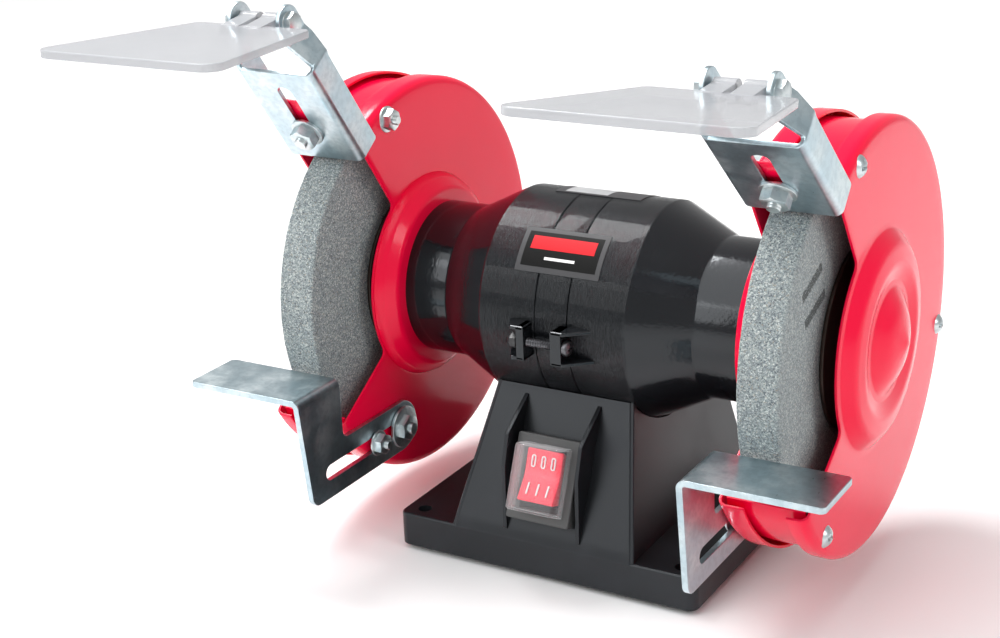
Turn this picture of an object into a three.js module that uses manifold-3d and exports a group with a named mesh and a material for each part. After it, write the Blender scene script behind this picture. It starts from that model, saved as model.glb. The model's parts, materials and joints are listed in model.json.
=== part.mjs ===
// Bench grinder: a small induction motor on a hollow pedestal base turns a 150 mm wheel at each end.
// Millimetres. X runs along the shaft to the right, Y to the back, Z up, with Z = 0 under the rubber feet.
// The two ends are mirror images, apart from the lean of the spark guard brackets and of their eye shields.

import * as THREE from 'three';
import { mergeVertices } from 'three/addons/utils/BufferGeometryUtils.js';
import Module from 'manifold-3d';

const wasm = await Module();
wasm.setup();

// Driving dimensions
const gap = 0.3;                     // clearance between neighbouring pieces
const footHeight = 2;                // how far the feet lift the base
const shaftHeight = 102;
const wheel = { radius: 75, width: 16, x: 98.7, bore: 6.65 };
const plinth = { halfX: 67.25, halfY: 57, top: 16.7, wall: 3, corner: 4, holeX: 58.7, holeY: 50, holeRadius: 2.9 };
const pedestal = { footX: 40.3, footY: 57, topX: 28.9, topY: 31.4, topBack: 45, top: 78, wall: 3 };
const motor = { radius: 43.7, neckRadius: 32.2, barrelEnd: 31.9, coneEnd: 54.9, neckEnd: 75, wall: 3.8, bandHalf: 7 };
const bearing = { radius: 17.5, bore: 7.8, from: 58, width: 11 };
const shaftRadius = { core: 9, journal: 7.5, arbor: 6.35 };
const core = { halfLength: 20, radius: 39.6, bore: 25.2, rotorRadius: 24.5 };
const guard = { radius: 83.2, inner: 83, outer: 115.6, sheet: 1, lip: 7, upper: 125, lower: -148, hub: 44.5 };
const strip = { inner: 80.5, outer: 81.5, upper: 126.2 };
const guardScrew = { circle: 78, radius: 2, angles: { upper: 110, rear: -14, lower: -131 } };
const rest = { x: 80.2, sheet: 2.5, ledgeEnd: 134, top: -22, front: -101.9, rear: -74, arm: -58.9, armRadius: 11 };
const bracket = { x: 99.3, halfWidth: 18.4, sheet: 1.8, length: 49.5, cheek: 13, foot: [-46.9, 60.5] };
const pivot = { along: 68, behind: 9.5, tabHalf: 11.8 };
const shield = { sheet: 3, top: 0, rearHalf: 26, frontHalf: 41, rear: 9.5, front: 83, inboard: 3, corner: 7,
  ear: 3.9 };
const lean = { left: { bracket: 126, shield: -1.6 }, right: { bracket: 138.5, shield: -6.4 } };

const radians = THREE.MathUtils.degToRad;

// Materials
const finish = (color, roughness, metalness) => new THREE.MeshStandardMaterial({ color, roughness, metalness });
const finishes = {
  blackGloss: finish(0x16181b, 0.28, 0.1),
  blackSatin: finish(0x1d1f22, 0.5, 0.0),
  redPaint: finish(0xd8102c, 0.25, 0.0),
  zinc: finish(0xb8c2c6, 0.32, 1.0),
  abrasive: finish(0x7f8b86, 0.95, 0.0),
  darkSteel: finish(0x2a2422, 0.5, 0.7),
  steel: finish(0x8d9094, 0.4, 1.0),
  clear: finish(0xdfe2e4, 0.08, 0.0),
  rubber: finish(0x101010, 0.85, 0.0),
  switchBlack: finish(0x1a1a1a, 0.45, 0.0),
  switchRed: finish(0xe0182b, 0.3, 0.0),
  copper: finish(0xa8592c, 0.4, 0.9),
  lamination: finish(0x3a3c40, 0.5, 0.8),
  capacitor: finish(0xc9c4b4, 0.5, 0.0),
};

// Solids: a closed geometry becomes a manifold solid for joining and cutting, and comes back as a geometry
function solidOf(geometry) {
  const bare = new THREE.BufferGeometry();
  bare.setAttribute('position', geometry.getAttribute('position').clone());
  if (geometry.index) bare.setIndex(geometry.index.clone());
  const merged = mergeVertices(bare, 1e-4);
  const corners = merged.index.array;
  const triangles = [];
  for (let i = 0; i < corners.length; i += 3) {
    const [a, b, c] = corners.slice(i, i + 3);
    if (a !== b && b !== c && c !== a) triangles.push(a, b, c);
  }
  const vertProperties = new Float32Array(merged.getAttribute('position').array);
  return new wasm.Manifold(new wasm.Mesh({ numProp: 3, vertProperties, triVerts: new Uint32Array(triangles) }));
}

function geometryOf(solid) {
  const mesh = solid.getMesh();
  const geometry = new THREE.BufferGeometry();
  geometry.setAttribute('position', new THREE.BufferAttribute(new Float32Array(mesh.vertProperties), 3));
  geometry.setIndex(new THREE.BufferAttribute(new Uint32Array(mesh.triVerts), 1));
  return geometry;
}

const join = (...parts) => geometryOf(parts.map(solidOf).reduce((whole, part) => whole.add(part)));
const cut = (body, ...tools) => geometryOf(tools.map(solidOf).reduce((left, tool) => left.subtract(tool), solidOf(body)));
const overlap = (body, other) => geometryOf(solidOf(body).intersect(solidOf(other)));

// Shapes. Each has its place in its own group's frame.
const latheToX = new THREE.Matrix4().set(0, 1, 0, 0, 0, 0, 1, 0, 1, 0, 0, 0, 0, 0, 0, 1);
const extrudeToX = new THREE.Matrix4().set(0, 0, 1, 0, 1, 0, 0, 0, 0, 1, 0, 0, 0, 0, 0, 1);

// Turned about X: the profile is a list of [x, radius], a closed loop or one that starts and ends on the axis
function turned(profile, segments = 24) {
  const points = profile.map(([x, radius]) => new THREE.Vector2(radius, x));
  if (points[0].x > 0 || points[points.length - 1].x > 0) points.push(points[0].clone());
  if (THREE.ShapeUtils.area(points) < 0) points.reverse();
  return new THREE.LatheGeometry(points, segments).applyMatrix4(latheToX);
}

const rod = (radius, from, to, segments = 12) => turned([[from, 0], [from, radius], [to, radius], [to, 0]], segments);

// A flat outline drawn in Y and Z, and given its thickness along X
function sheetAcross(shape, from, to, curveSegments = 4) {
  const geometry = new THREE.ExtrudeGeometry(shape, { depth: to - from, bevelEnabled: false, curveSegments });
  return geometry.applyMatrix4(extrudeToX).translate(from, 0, 0);
}

// A flat outline drawn in X and Y, and given its thickness along Z
function sheetUp(shape, from, to, curveSegments = 3) {
  const geometry = new THREE.ExtrudeGeometry(shape, { depth: to - from, bevelEnabled: false, curveSegments });
  return geometry.translate(0, 0, from);
}

function block([x0, x1], [y0, y1], [z0, z1]) {
  const size = new THREE.BoxGeometry(x1 - x0, y1 - y0, z1 - z0);
  return size.translate((x0 + x1) / 2, (y0 + y1) / 2, (z0 + z1) / 2);
}

// A block whose top is narrower than its foot, and may reach further at the back
function tapered(footX, footY, from, topX, topY, to, topBack = topY) {
  const geometry = new THREE.BoxGeometry(2, 2, 1).translate(0, 0, 0.5);
  const position = geometry.getAttribute('position');
  for (let i = 0; i < position.count; i += 1) {
    const up = position.getZ(i);
    position.setX(i, position.getX(i) * THREE.MathUtils.lerp(footX, topX, up));
    const end = position.getY(i) > 0 ? topBack : topY;
    position.setY(i, position.getY(i) * THREE.MathUtils.lerp(footY, end, up));
    position.setZ(i, THREE.MathUtils.lerp(from, to, up));
  }
  return geometry;
}

function roundedRectangle(halfX, halfY, radius) {
  const shape = new THREE.Shape();
  shape.absarc(halfX - radius, halfY - radius, radius, 0, Math.PI / 2);
  shape.absarc(radius - halfX, halfY - radius, radius, Math.PI / 2, Math.PI);
  shape.absarc(radius - halfX, radius - halfY, radius, Math.PI, 1.5 * Math.PI);
  shape.absarc(halfX - radius, radius - halfY, radius, 1.5 * Math.PI, 2 * Math.PI);
  return shape;
}

function slotOutline([fromX, fromY], [toX, toY], radius) {
  const heading = Math.atan2(toY - fromY, toX - fromX);
  const shape = new THREE.Shape();
  shape.absarc(toX, toY, radius, heading - Math.PI / 2, heading + Math.PI / 2);
  shape.absarc(fromX, fromY, radius, heading + Math.PI / 2, heading + 1.5 * Math.PI);
  return shape;
}

const outline = (points) => new THREE.Shape(points.map(([x, y]) => new THREE.Vector2(x, y)));

// The other hand of a piece: X changes sign, and each face is turned back to point outwards
function mirrored(geometry) {
  const copy = geometry.index ? geometry.toNonIndexed() : geometry.clone();
  copy.scale(-1, 1, 1);
  const places = copy.getAttribute('position').array;
  for (let i = 0; i < places.length; i += 9) {
    const second = places.slice(i + 3, i + 6);
    places.copyWithin(i + 3, i + 6, i + 9);
    places.set(second, i + 6);
  }
  return copy;
}

function piece(group, name, geometry, material, position = [0, 0, 0]) {
  const mesh = new THREE.Mesh(geometry, material);
  mesh.name = name;
  mesh.position.set(...position);
  group.add(mesh);
  return mesh;
}

const grinder = new THREE.Group();
const base = new THREE.Group();
const shaftLine = new THREE.Group();
shaftLine.position.z = shaftHeight;
grinder.add(base, shaftLine);

// Base: plinth and pedestal in one shell, hollow, open below and cut to a saddle under the motor
const faceSlope = Math.atan2(pedestal.top - plinth.top, pedestal.footY - pedestal.topY);
const facePlace = new THREE.Matrix4().makeRotationX(faceSlope).setPosition(0, -pedestal.footY, plinth.top);

function motorRound(clearance) {
  return rod(motor.radius + clearance, -80, 80, 36).translate(0, 0, shaftHeight);
}

function switchRib(x) {
  const profile = outline([[3, -1], [58, -1], [58, 0.2], [41.5, 11.8], [28, 10.5], [3, 0.2]]);
  return sheetAcross(profile, x - 0.9, x + 0.9).applyMatrix4(facePlace);
}

const switchHole = { halfX: 10.4, halfY: 14.4, y: 25.8 };

function baseShell() {
  const { wall } = pedestal;
  const step = plinth.top - footHeight;
  const body = join(
    sheetUp(roundedRectangle(plinth.halfX, plinth.halfY, plinth.corner), footHeight, plinth.top),
    tapered(
      pedestal.footX, pedestal.footY, plinth.top - 1e-3,
      pedestal.topX, pedestal.topY, pedestal.top, pedestal.topBack,
    ),
  );
  const room = cut(
    tapered(
      pedestal.footX - wall, pedestal.footY - wall, step,
      pedestal.topX - wall, pedestal.topY - wall, pedestal.top - wall, pedestal.topBack - wall,
    ),
    motorRound(gap + wall),
  );
  const well = sheetUp(
    roundedRectangle(plinth.halfX - plinth.wall, plinth.halfY - plinth.wall, 1.5), footHeight - 1, step,
  );
  const holes = [-1, 1].flatMap((a) => [-1, 1].map((b) => (
    new THREE.CylinderGeometry(plinth.holeRadius, plinth.holeRadius, 30, 10)
      .rotateX(Math.PI / 2).translate(a * plinth.holeX, b * plinth.holeY, plinth.top)
  )));
  const window = block(
    [-switchHole.halfX, switchHole.halfX], [switchHole.y - switchHole.halfY, switchHole.y + switchHole.halfY], [-8, 20],
  ).applyMatrix4(facePlace);
  const inlet = rod(5.3, -8, 8).rotateZ(Math.PI / 2).translate(gland.x, plinth.halfY, gland.z);
  return cut(join(body, switchRib(-16.4), switchRib(16.4)), motorRound(gap), room, well, ...holes, window, inlet);
}

const gland = { x: -32, z: 9.4 };
const foot = { x: 55, y: 38, radius: 9, neck: 6 };

function bottomPlate() {
  const inset = plinth.wall + gap;
  const plate = sheetUp(
    roundedRectangle(plinth.halfX - inset, plinth.halfY - inset, 1.5), footHeight + gap, footHeight + gap + 1.5,
  );
  const holes = [-1, 1].flatMap((a) => [-1, 1].flatMap((b) => [
    new THREE.CylinderGeometry(foot.neck + gap, foot.neck + gap, 10, 12)
      .rotateX(Math.PI / 2).translate(a * foot.x, b * foot.y, 3),
    new THREE.CylinderGeometry(plinth.holeRadius + 1, plinth.holeRadius + 1, 10, 8)
      .rotateX(Math.PI / 2).translate(a * plinth.holeX, b * plinth.holeY, 3),
  ]));
  return cut(plate, ...holes);
}

const footProfile = [[0, 0], [0, foot.radius], [2, foot.radius], [2, foot.neck], [5.4, foot.neck], [5.4, 0]];

piece(base, 'base_shell', baseShell(), finishes.blackSatin);
piece(base, 'bottom_plate', bottomPlate(), finishes.darkSteel);
for (const [end, b] of [['front', -1], ['rear', 1]]) {
  for (const [side, a] of [['left', -1], ['right', 1]]) {
    const shape = turned(footProfile, 12).rotateY(-Math.PI / 2);
    piece(base, `foot_${end}_${side}`, shape, finishes.rubber, [a * foot.x, b * foot.y, 0]);
  }
}
const glandShape = turned([[-5, 3.6], [-5, 4.9], [gap, 4.9], [gap, 8], [3, 8], [11, 5.6], [11, 3.6]], 14);
piece(base, 'cable_gland', glandShape.rotateZ(Math.PI / 2), finishes.rubber, [gland.x, plinth.halfY, gland.z]);
piece(base, 'run_capacitor', rod(14, -22, 22, 20), finishes.capacitor, [0, 22, 24]);

// Switch: a frame let into the sloping front face, a rocker in its pocket and a clear cover over it.
// In this group's frame Y runs up the face and Z out of it.
const switchPanel = new THREE.Group();
switchPanel.applyMatrix4(facePlace);
base.add(switchPanel);
const bezel = { halfX: 14, halfY: 17.3, front: 6.5, pocketX: 8.4, pocketY: 12.4 };
const rocker = { halfX: 8, half: 10.8, top: 9.6, tilt: 8 };

function switchFrame() {
  const rim = block([-bezel.halfX, bezel.halfX], [-bezel.halfY, bezel.halfY], [gap, bezel.front]);
  const body = block([gap - switchHole.halfX, switchHole.halfX - gap],
    [gap - switchHole.halfY, switchHole.halfY - gap], [-16, 1]);
  const pocket = block([-bezel.pocketX, bezel.pocketX], [-bezel.pocketY, bezel.pocketY], [-5, 10]);
  return cut(join(rim, body), pocket);
}

function switchCover() {
  const skin = 1.1;
  const from = bezel.front + gap;
  const outer = tapered(11.9, 14.4, from, 10.6, 13.2, 15.5);
  return cut(outer, tapered(11.9 - skin, 14.4 - skin, from - 1e-2, 10.6 - skin, 13.2 - skin, 15.5 - skin));
}

function switchRocker() {
  const { half, top } = rocker;
  const profile = outline([[-half, top], [-8.5, -2.5], [8.5, -2.5], [half, top], [0, top - 2]]);
  return sheetAcross(profile, -rocker.halfX, rocker.halfX).rotateX(radians(-rocker.tilt));
}

piece(switchPanel, 'switch_frame', switchFrame(), finishes.switchBlack, [0, switchHole.y, 0]);
piece(switchPanel, 'switch_cover', switchCover(), finishes.clear, [0, switchHole.y, 0]);
piece(switchPanel, 'switch_rocker', switchRocker(), finishes.switchRed, [0, switchHole.y, 0]);

// Motor: two cast end housings clamp the stator core, whose middle shows as a band between them
const lug = { low: -11, high: 3, front: -51, root: -42, screwY: -47.8, screwZ: -4, screwRadius: 1.8 };

// Front and rear lugs of one housing, from an outline in X and Y and the pocket that its screw end sits in
function withLugs(shell, points, pocketX) {
  const lugs = sheetUp(outline(points), lug.low, lug.high);
  const pocket = block(pocketX, [lug.front - 1, -44.2], [lug.low + 1.2, lug.high - 1.2]);
  const hole = rod(lug.screwRadius + gap, -30, 30, 10).translate(0, lug.screwY, lug.screwZ);
  const front = cut(lugs, rod(motor.radius + 0.6, -motor.bandHalf - gap, motor.bandHalf + gap, 36), pocket, hole);
  const rounded = cut(front, rod(motor.radius - 1, -60, 60, 36));
  const rear = mirrored(rounded).rotateZ(Math.PI);
  return join(shell, rounded, rear);
}

function housingShell() {
  const { radius, neckRadius, barrelEnd, coneEnd, neckEnd, wall, bandHalf } = motor;
  const seat = bearing.from + bearing.width;
  return turned([
    [bandHalf + gap, radius], [barrelEnd, radius], [coneEnd, neckRadius], [neckEnd, neckRadius],
    [neckEnd, 9], [seat + gap, 9], [seat + gap, bearing.radius + gap], [bearing.from, bearing.radius + gap],
    [bearing.from, 21], [seat - 1, 21], [seat - 1, neckRadius - wall], [coneEnd - 1.5, neckRadius - wall],
    [barrelEnd - 1.5, radius - wall], [bandHalf + gap, radius - wall],
  ], 36);
}

const rightLug = [[3.8, lug.root], [3.8, lug.front], [8.7, lug.front], [20, lug.root]];
const leftLug = [[8, lug.root], [8, lug.front], [14, lug.front], [19, lug.root]];
piece(shaftLine, 'housing_right', withLugs(housingShell(), rightLug, [8.3, 30]), finishes.blackGloss);
piece(shaftLine, 'housing_left', mirrored(withLugs(housingShell(), leftLug, [11.5, 30])), finishes.blackGloss);

const { halfLength, radius: coreRadius, bore: coreBore } = core;
piece(shaftLine, 'stator_core', turned([[-halfLength, coreBore], [-halfLength, coreRadius],
  [-motor.bandHalf, coreRadius], [-motor.bandHalf, motor.radius], [motor.bandHalf, motor.radius],
  [motor.bandHalf, coreRadius], [halfLength, coreRadius], [halfLength, coreBore]], 36), finishes.blackGloss);

function tieScrew() {
  const { screwRadius } = lug;
  return turned([[-15.5, 0], [-15.5, screwRadius], [8.6, screwRadius], [8.6, 3.1], [10.4, 3.1], [11.4, 1.8], [11.4, 0]], 10);
}
const tieNut = cut(rod(3.3, -14.6, -11.8, 6), rod(lug.screwRadius + gap, -20, 0, 10));
for (const [end, b] of [['front', 1], ['rear', -1]]) {
  piece(shaftLine, `tie_screw_${end}`, tieScrew(), finishes.steel, [0, b * lug.screwY, lug.screwZ]);
  piece(shaftLine, `tie_nut_${end}`, tieNut.clone(), finishes.steel, [0, b * lug.screwY, lug.screwZ]);
}

// Rotor: stepped shaft with its core, wheels clamped between flanges
const arborStart = 87.1;
const rotorHalf = [[57, shaftRadius.core], [57, shaftRadius.journal], [arborStart, shaftRadius.journal],
  [arborStart, shaftRadius.arbor], [122, shaftRadius.arbor], [122, 0]];
const rotorProfile = [...rotorHalf.map(([x, r]) => [-x, r]).reverse(), ...rotorHalf];
piece(shaftLine, 'shaft', turned(rotorProfile, 20), finishes.steel);
piece(shaftLine, 'rotor_core', turned([[-halfLength, shaftRadius.core + gap], [-halfLength, core.rotorRadius],
  [halfLength, core.rotorRadius], [halfLength, shaftRadius.core + gap]], 28), finishes.lamination);

const face = wheel.x - wheel.width / 2;
const back = wheel.x + wheel.width / 2;
const edge = 0.6;
const wheelShape = turned([[face, wheel.bore], [face, wheel.radius - edge], [face + edge, wheel.radius],
  [back - edge, wheel.radius], [back, wheel.radius - edge], [back, wheel.bore]], 48);
const innerFlange = turned([[arborStart + gap, wheel.bore], [arborStart + gap, 18], [face - 1.8, 37],
  [face - gap, 37], [face - gap, wheel.bore]], 28);
const outerFlange = turned([[back + gap, wheel.bore], [back + gap, 37], [back + 1.8, 37], [back + 3.8, 18],
  [back + 3.8, wheel.bore]], 28);
const wheelNut = cut(rod(10.97, back + 4.1, 119.6, 6), rod(wheel.bore, 100, 130, 20));
const windingShape = turned([[halfLength + gap, 27], [halfLength + gap, 37], [28, 38], [33, 32], [29, 27]], 24);
const bearingShape = turned([[bearing.from, bearing.bore], [bearing.from, bearing.radius],
  [bearing.from + bearing.width, bearing.radius], [bearing.from + bearing.width, bearing.bore]], 24);

// Guard: pressed inner plate, rolled strip and pressed cover, drawn in Y and Z about the shaft.
// The outline is a disc with its front sector open, from the lower to the upper angle, but for a round hub.
function guardOutline(radius, hub) {
  const shape = new THREE.Shape();
  shape.absarc(0, 0, radius, radians(guard.upper), radians(guard.lower), true);
  shape.absarc(0, 0, hub, radians(guard.lower), radians(guard.upper - 360), true);
  return shape;
}

// A ring wall of the guard over the closed part of its round
function guardWall(innerRadius, outerRadius, from, to, upper = guard.upper) {
  const shape = new THREE.Shape();
  shape.absarc(0, 0, outerRadius, radians(upper), radians(guard.lower), true);
  shape.absarc(0, 0, innerRadius, radians(guard.lower), radians(upper), false);
  return sheetAcross(shape, from, to, 24);
}

const screwHoles = () => Object.values(guardScrew.angles).map((angle) => rod(guardScrew.radius + gap, 70, 130, 8)
  .translate(0, guardScrew.circle * Math.cos(radians(angle)), guardScrew.circle * Math.sin(radians(angle))));

function guardInner() {
  const { inner, sheet, radius, lip } = guard;
  const plate = sheetAcross(guardOutline(radius, guard.hub), inner, inner + sheet, 20);
  const rim = guardWall(radius - sheet, radius, inner, inner + lip);
  const hubFace = motor.neckEnd + gap;
  const pressing = turned([[inner, 43.5], [77, 38.5], [hubFace, 35], [hubFace, 14], [hubFace + sheet, 14],
    [hubFace + sheet, 34.6], [77.9, 37.8], [inner + sheet, 42.2], [inner + sheet, 43.5]], 24);
  const restHole = rod(2.8, 70, 100, 8).translate(0, restBoltY, rest.arm);
  return cut(join(cut(plate, rod(43, 60, 100, 24)), rim, pressing), ...screwHoles(), restHole);
}

function guardCover() {
  const { outer, sheet, radius, lip } = guard;
  const plate = sheetAcross(guardOutline(radius, guard.hub), outer - sheet, outer, 20);
  const rim = guardWall(radius - sheet, radius, outer - lip, outer);
  const dome = turned([[outer, 41], [119.8, 36], [120.6, 28], [125.6, 14], [127.2, 0],
    [126.2, 0], [124.6, 13.6], [119.6, 27.5], [118.8, 35.5], [outer - sheet, 40]], 24);
  return cut(join(cut(plate, rod(40.5, 100, 130, 24)), rim, dome), ...screwHoles());
}

// Bracket frame of one side: from the plate's foot, Y runs up the plate and Z out
// of its back, where the cheeks are, turned by the lean
function bracketPlace(tilt) {
  const turn = new THREE.Matrix4().makeRotationX(radians(tilt));
  const flip = new THREE.Matrix4().makeScale(1, 1, -1);
  return turn.multiply(flip).setPosition(bracket.x, ...bracket.foot);
}

function leaned(geometry, tilt) {
  const placed = geometry.index ? geometry.toNonIndexed() : geometry.clone();
  placed.applyMatrix4(bracketPlace(tilt));
  return mirrored(placed.scale(-1, 1, 1));
}

const boltAlong = 16.5;
function guardStrip(tilt) {
  const wall = guardWall(strip.inner, strip.outer, guard.inner + guard.sheet + gap, guard.outer - guard.sheet - gap,
    strip.upper);
  const tab = leaned(block([-10, 10], [2.5, 31], [2.1, 3.3]), tilt);
  const hole = leaned(new THREE.CylinderGeometry(3, 3, 10, 8).rotateX(Math.PI / 2).translate(0, boltAlong, 3), tilt);
  return cut(join(wall, tab), hole);
}

function guardScrewShape(nutSeat) {
  const shank = [[nutSeat - 6, 0], [nutSeat - 6, guardScrew.radius], [nutSeat - 4.4, guardScrew.radius]];
  const headSeat = guard.outer + gap;
  const screw = turned([...shank, [headSeat, guardScrew.radius], [headSeat, 4.4], [headSeat + 1.4, 4.2],
    [headSeat + 2.8, 2.4], [headSeat + 2.8, 0]], 10);
  const washer = rod(5.4, nutSeat - 1, nutSeat, 12);
  return join(screw, washer, rod(4.3, nutSeat - 4.4, nutSeat - 0.9, 6));
}

// Tool rest: bent plate whose slotted arm lies on the guard's inner plate, its ledge in front of the wheel
const restBoltY = -32;
function toolRest() {
  const { x, sheet, ledgeEnd, top, front, rear, arm, armRadius } = rest;
  const upright = new THREE.Shape();
  upright.moveTo(front, top);
  upright.lineTo(front + 5.2, arm - armRadius + 3);
  upright.quadraticCurveTo(front + 5.6, arm - armRadius, front + 9, arm - armRadius);
  upright.lineTo(restBoltY, arm - armRadius);
  upright.absarc(restBoltY, arm, armRadius, -Math.PI / 2, Math.PI / 2, false);
  upright.lineTo(rear + 3, arm + armRadius);
  upright.quadraticCurveTo(rear, arm + armRadius, rear, arm + armRadius + 3);
  upright.lineTo(rear, top);
  const slot = slotOutline([-83.8, arm], [-30.2, arm], 3.2);
  const plate = cut(sheetAcross(upright, x, x + sheet, 6), sheetAcross(slot, x - 1, x + sheet + 1, 4));
  return join(plate, block([x, ledgeEnd], [front, rear], [top - sheet, top]));
}

const restBolt = join(
  rod(2.4, 71.5, 88, 10),
  rod(9, rest.x - gap - 1.5, rest.x - gap, 20),
  rod(6, 74.6, rest.x - 1.6, 6),
  rod(5, guard.inner + guard.sheet + gap, 88, 6),
);

// Spark guard bracket: slotted plate with a cheek on each side, drawn out into cranked arms for the shield's pivot
function sparkBracket() {
  const { halfWidth, sheet, length, cheek } = bracket;
  const inside = halfWidth - sheet;
  const { along, behind, tabHalf } = pivot;
  const strap = outline([[halfWidth, 0], [halfWidth, length], [tabHalf, length + 11.5], [tabHalf, 80],
    [tabHalf - sheet, 80], [tabHalf - sheet, length + 11], [inside, length - 0.5], [inside, 0]]);
  const side = new THREE.Shape();
  side.moveTo(0, 0);
  side.lineTo(length, 0);
  side.lineTo(length + 11, 3);
  side.lineTo(along, 3);
  side.absarc(along, behind, 6.5, -Math.PI / 2, Math.PI / 2, false);
  side.lineTo(length + 11, 16);
  side.lineTo(length, cheek);
  side.lineTo(0, cheek);
  const profile = sheetAcross(side, -30, 30, 6);
  const arm = overlap(sheetUp(strap, -1, 20), profile);
  const eye = rod(2.3, -30, 30, 8).translate(0, along, behind);
  const slot = sheetUp(slotOutline([0, 12.5], [0, 38.3], 3.2), -5, 5);
  const plate = cut(block([-inside - 0.1, inside + 0.1], [0, length], [0, sheet]), slot);
  return cut(join(plate, arm, mirrored(arm)), eye);
}

const bracketBolt = join(
  rod(2.6, -7.6, 8.4, 8),
  rod(7.6, -1.9, -gap, 16),
  rod(5.4, -6.2, -1.8, 6),
  rod(5.2, 3.6, 7.4, 6),
).rotateY(-Math.PI / 2).translate(0, boltAlong, 0);

// Eye shield: clear plate in front of its pivot, with two hinge ears. Y runs to the back, Z up, from the pivot.
function eyeShield() {
  const { sheet, top, rearHalf, frontHalf, rear, front, inboard, corner, ear } = shield;
  const plan = new THREE.Shape();
  plan.moveTo(rearHalf - 3, -rear);
  plan.quadraticCurveTo(rearHalf, -rear, rearHalf + 0.7, -rear - 3);
  plan.lineTo(frontHalf - 1, corner - front);
  plan.quadraticCurveTo(frontHalf, -front, frontHalf - corner, -front);
  plan.lineTo(corner - frontHalf, -front);
  plan.quadraticCurveTo(-frontHalf, -front, 1 - frontHalf, corner - front);
  plan.lineTo(-rearHalf - 0.7, -rear - 3);
  plan.quadraticCurveTo(-rearHalf, -rear, 3 - rearHalf, -rear);
  const plate = sheetUp(plan, top - sheet, top, 4).translate(-inboard, 0, 0);
  const ears = [-7.6, 7.6].map((x) => join(
    rod(ear, x - 2, x + 2, 12),
    block([x - 2, x + 2], [-rear - 6, 0], [top - sheet + 0.1, top + 1.5]),
  ));
  const holes = [-7.6, 7.6].map((x) => rod(2.3, x - 4, x + 4, 8));
  return cut(join(plate, ...ears), ...holes);
}

const shieldBolt = join(
  rod(2, 2.2, 15, 8),
  rod(4.6, pivot.tabHalf + gap, 15, 6),
  rod(3.8, 2.2, 5.3, 6),
);

// One end of the grinder. The left end is the right one's mirror image.
for (const [side, hand] of [['right', (g) => g.clone()], ['left', mirrored]]) {
  const sign = side === 'right' ? 1 : -1;
  const { bracket: tilt, shield: pitch } = lean[side];
  const add = (name, geometry, material) => piece(shaftLine, `${name}_${side}`, hand(geometry), material);
  add('winding', windingShape, finishes.copper);
  add('bearing', bearingShape, finishes.steel);
  add('wheel', wheelShape, finishes.abrasive);
  add('inner_flange', innerFlange, finishes.darkSteel);
  add('outer_flange', outerFlange, finishes.darkSteel);
  add('wheel_nut', wheelNut, finishes.zinc);
  add('guard_inner', guardInner(), finishes.redPaint);
  add('guard_cover', guardCover(), finishes.redPaint);
  add('guard_strip', guardStrip(tilt), finishes.redPaint);
  for (const [place, angle] of Object.entries(guardScrew.angles)) {
    const seat = (place === 'lower' ? rest.x : guard.inner) - gap;
    const mesh = piece(shaftLine, `guard_screw_${place}_${side}`, hand(guardScrewShape(seat)), finishes.zinc);
    mesh.position.y = guardScrew.circle * Math.cos(radians(angle));
    mesh.position.z = guardScrew.circle * Math.sin(radians(angle));
  }
  add('tool_rest', toolRest(), finishes.zinc);
  add('rest_bolt', restBolt, finishes.zinc).position.set(0, restBoltY, rest.arm);
  add('spark_bracket', leaned(sparkBracket(), tilt), finishes.zinc);
  add('bracket_bolt', leaned(bracketBolt, tilt), finishes.zinc);

  const hinge = new THREE.Vector3(0, pivot.along, pivot.behind).applyMatrix4(bracketPlace(tilt));
  const hingeGroup = new THREE.Group();
  hingeGroup.position.set(sign * hinge.x, hinge.y, hinge.z);
  shaftLine.add(hingeGroup);
  const plate = piece(hingeGroup, `eye_shield_${side}`, hand(eyeShield()), finishes.clear);
  plate.rotation.x = radians(pitch);
  piece(hingeGroup, `shield_bolt_outer_${side}`, sign > 0 ? shieldBolt.clone() : mirrored(shieldBolt), finishes.zinc);
  piece(hingeGroup, `shield_bolt_inner_${side}`, sign > 0 ? mirrored(shieldBolt) : shieldBolt.clone(), finishes.zinc);
}

// The origin is under the middle of the whole machine
const span = new THREE.Box3().setFromObject(grinder, true);
grinder.position.y = -(span.min.y + span.max.y) / 2;

export default grinder;
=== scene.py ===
import json
import math

import bmesh
import bpy
import numpy as np
from mathutils import Matrix, Vector


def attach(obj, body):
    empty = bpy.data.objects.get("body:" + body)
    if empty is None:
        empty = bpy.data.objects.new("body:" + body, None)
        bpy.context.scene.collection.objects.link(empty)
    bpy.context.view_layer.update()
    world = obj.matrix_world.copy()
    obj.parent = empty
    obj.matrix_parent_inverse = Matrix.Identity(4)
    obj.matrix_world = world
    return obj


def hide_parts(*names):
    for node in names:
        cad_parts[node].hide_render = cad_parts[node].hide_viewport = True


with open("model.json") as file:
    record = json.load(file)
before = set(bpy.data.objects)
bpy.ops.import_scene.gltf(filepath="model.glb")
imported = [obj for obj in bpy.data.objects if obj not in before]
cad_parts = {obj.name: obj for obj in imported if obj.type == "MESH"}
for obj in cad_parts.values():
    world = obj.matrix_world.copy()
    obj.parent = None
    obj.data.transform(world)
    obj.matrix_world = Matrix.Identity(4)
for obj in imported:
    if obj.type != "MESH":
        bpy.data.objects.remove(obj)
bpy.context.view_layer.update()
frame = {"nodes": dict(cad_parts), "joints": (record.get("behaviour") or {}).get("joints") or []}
print("frame loaded:", len(frame["nodes"]), "nodes")

# Sizes are in millimetres about the middle of the shaft: X to the right, Y to the back, Z up.
millimetre = 0.001
joints = {joint["name"]: joint for joint in frame["joints"]}
shaftMiddle = np.array(joints["rotor_spin"]["pos_m"]) / millimetre
sides = {"right": 1, "left": -1}


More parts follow.
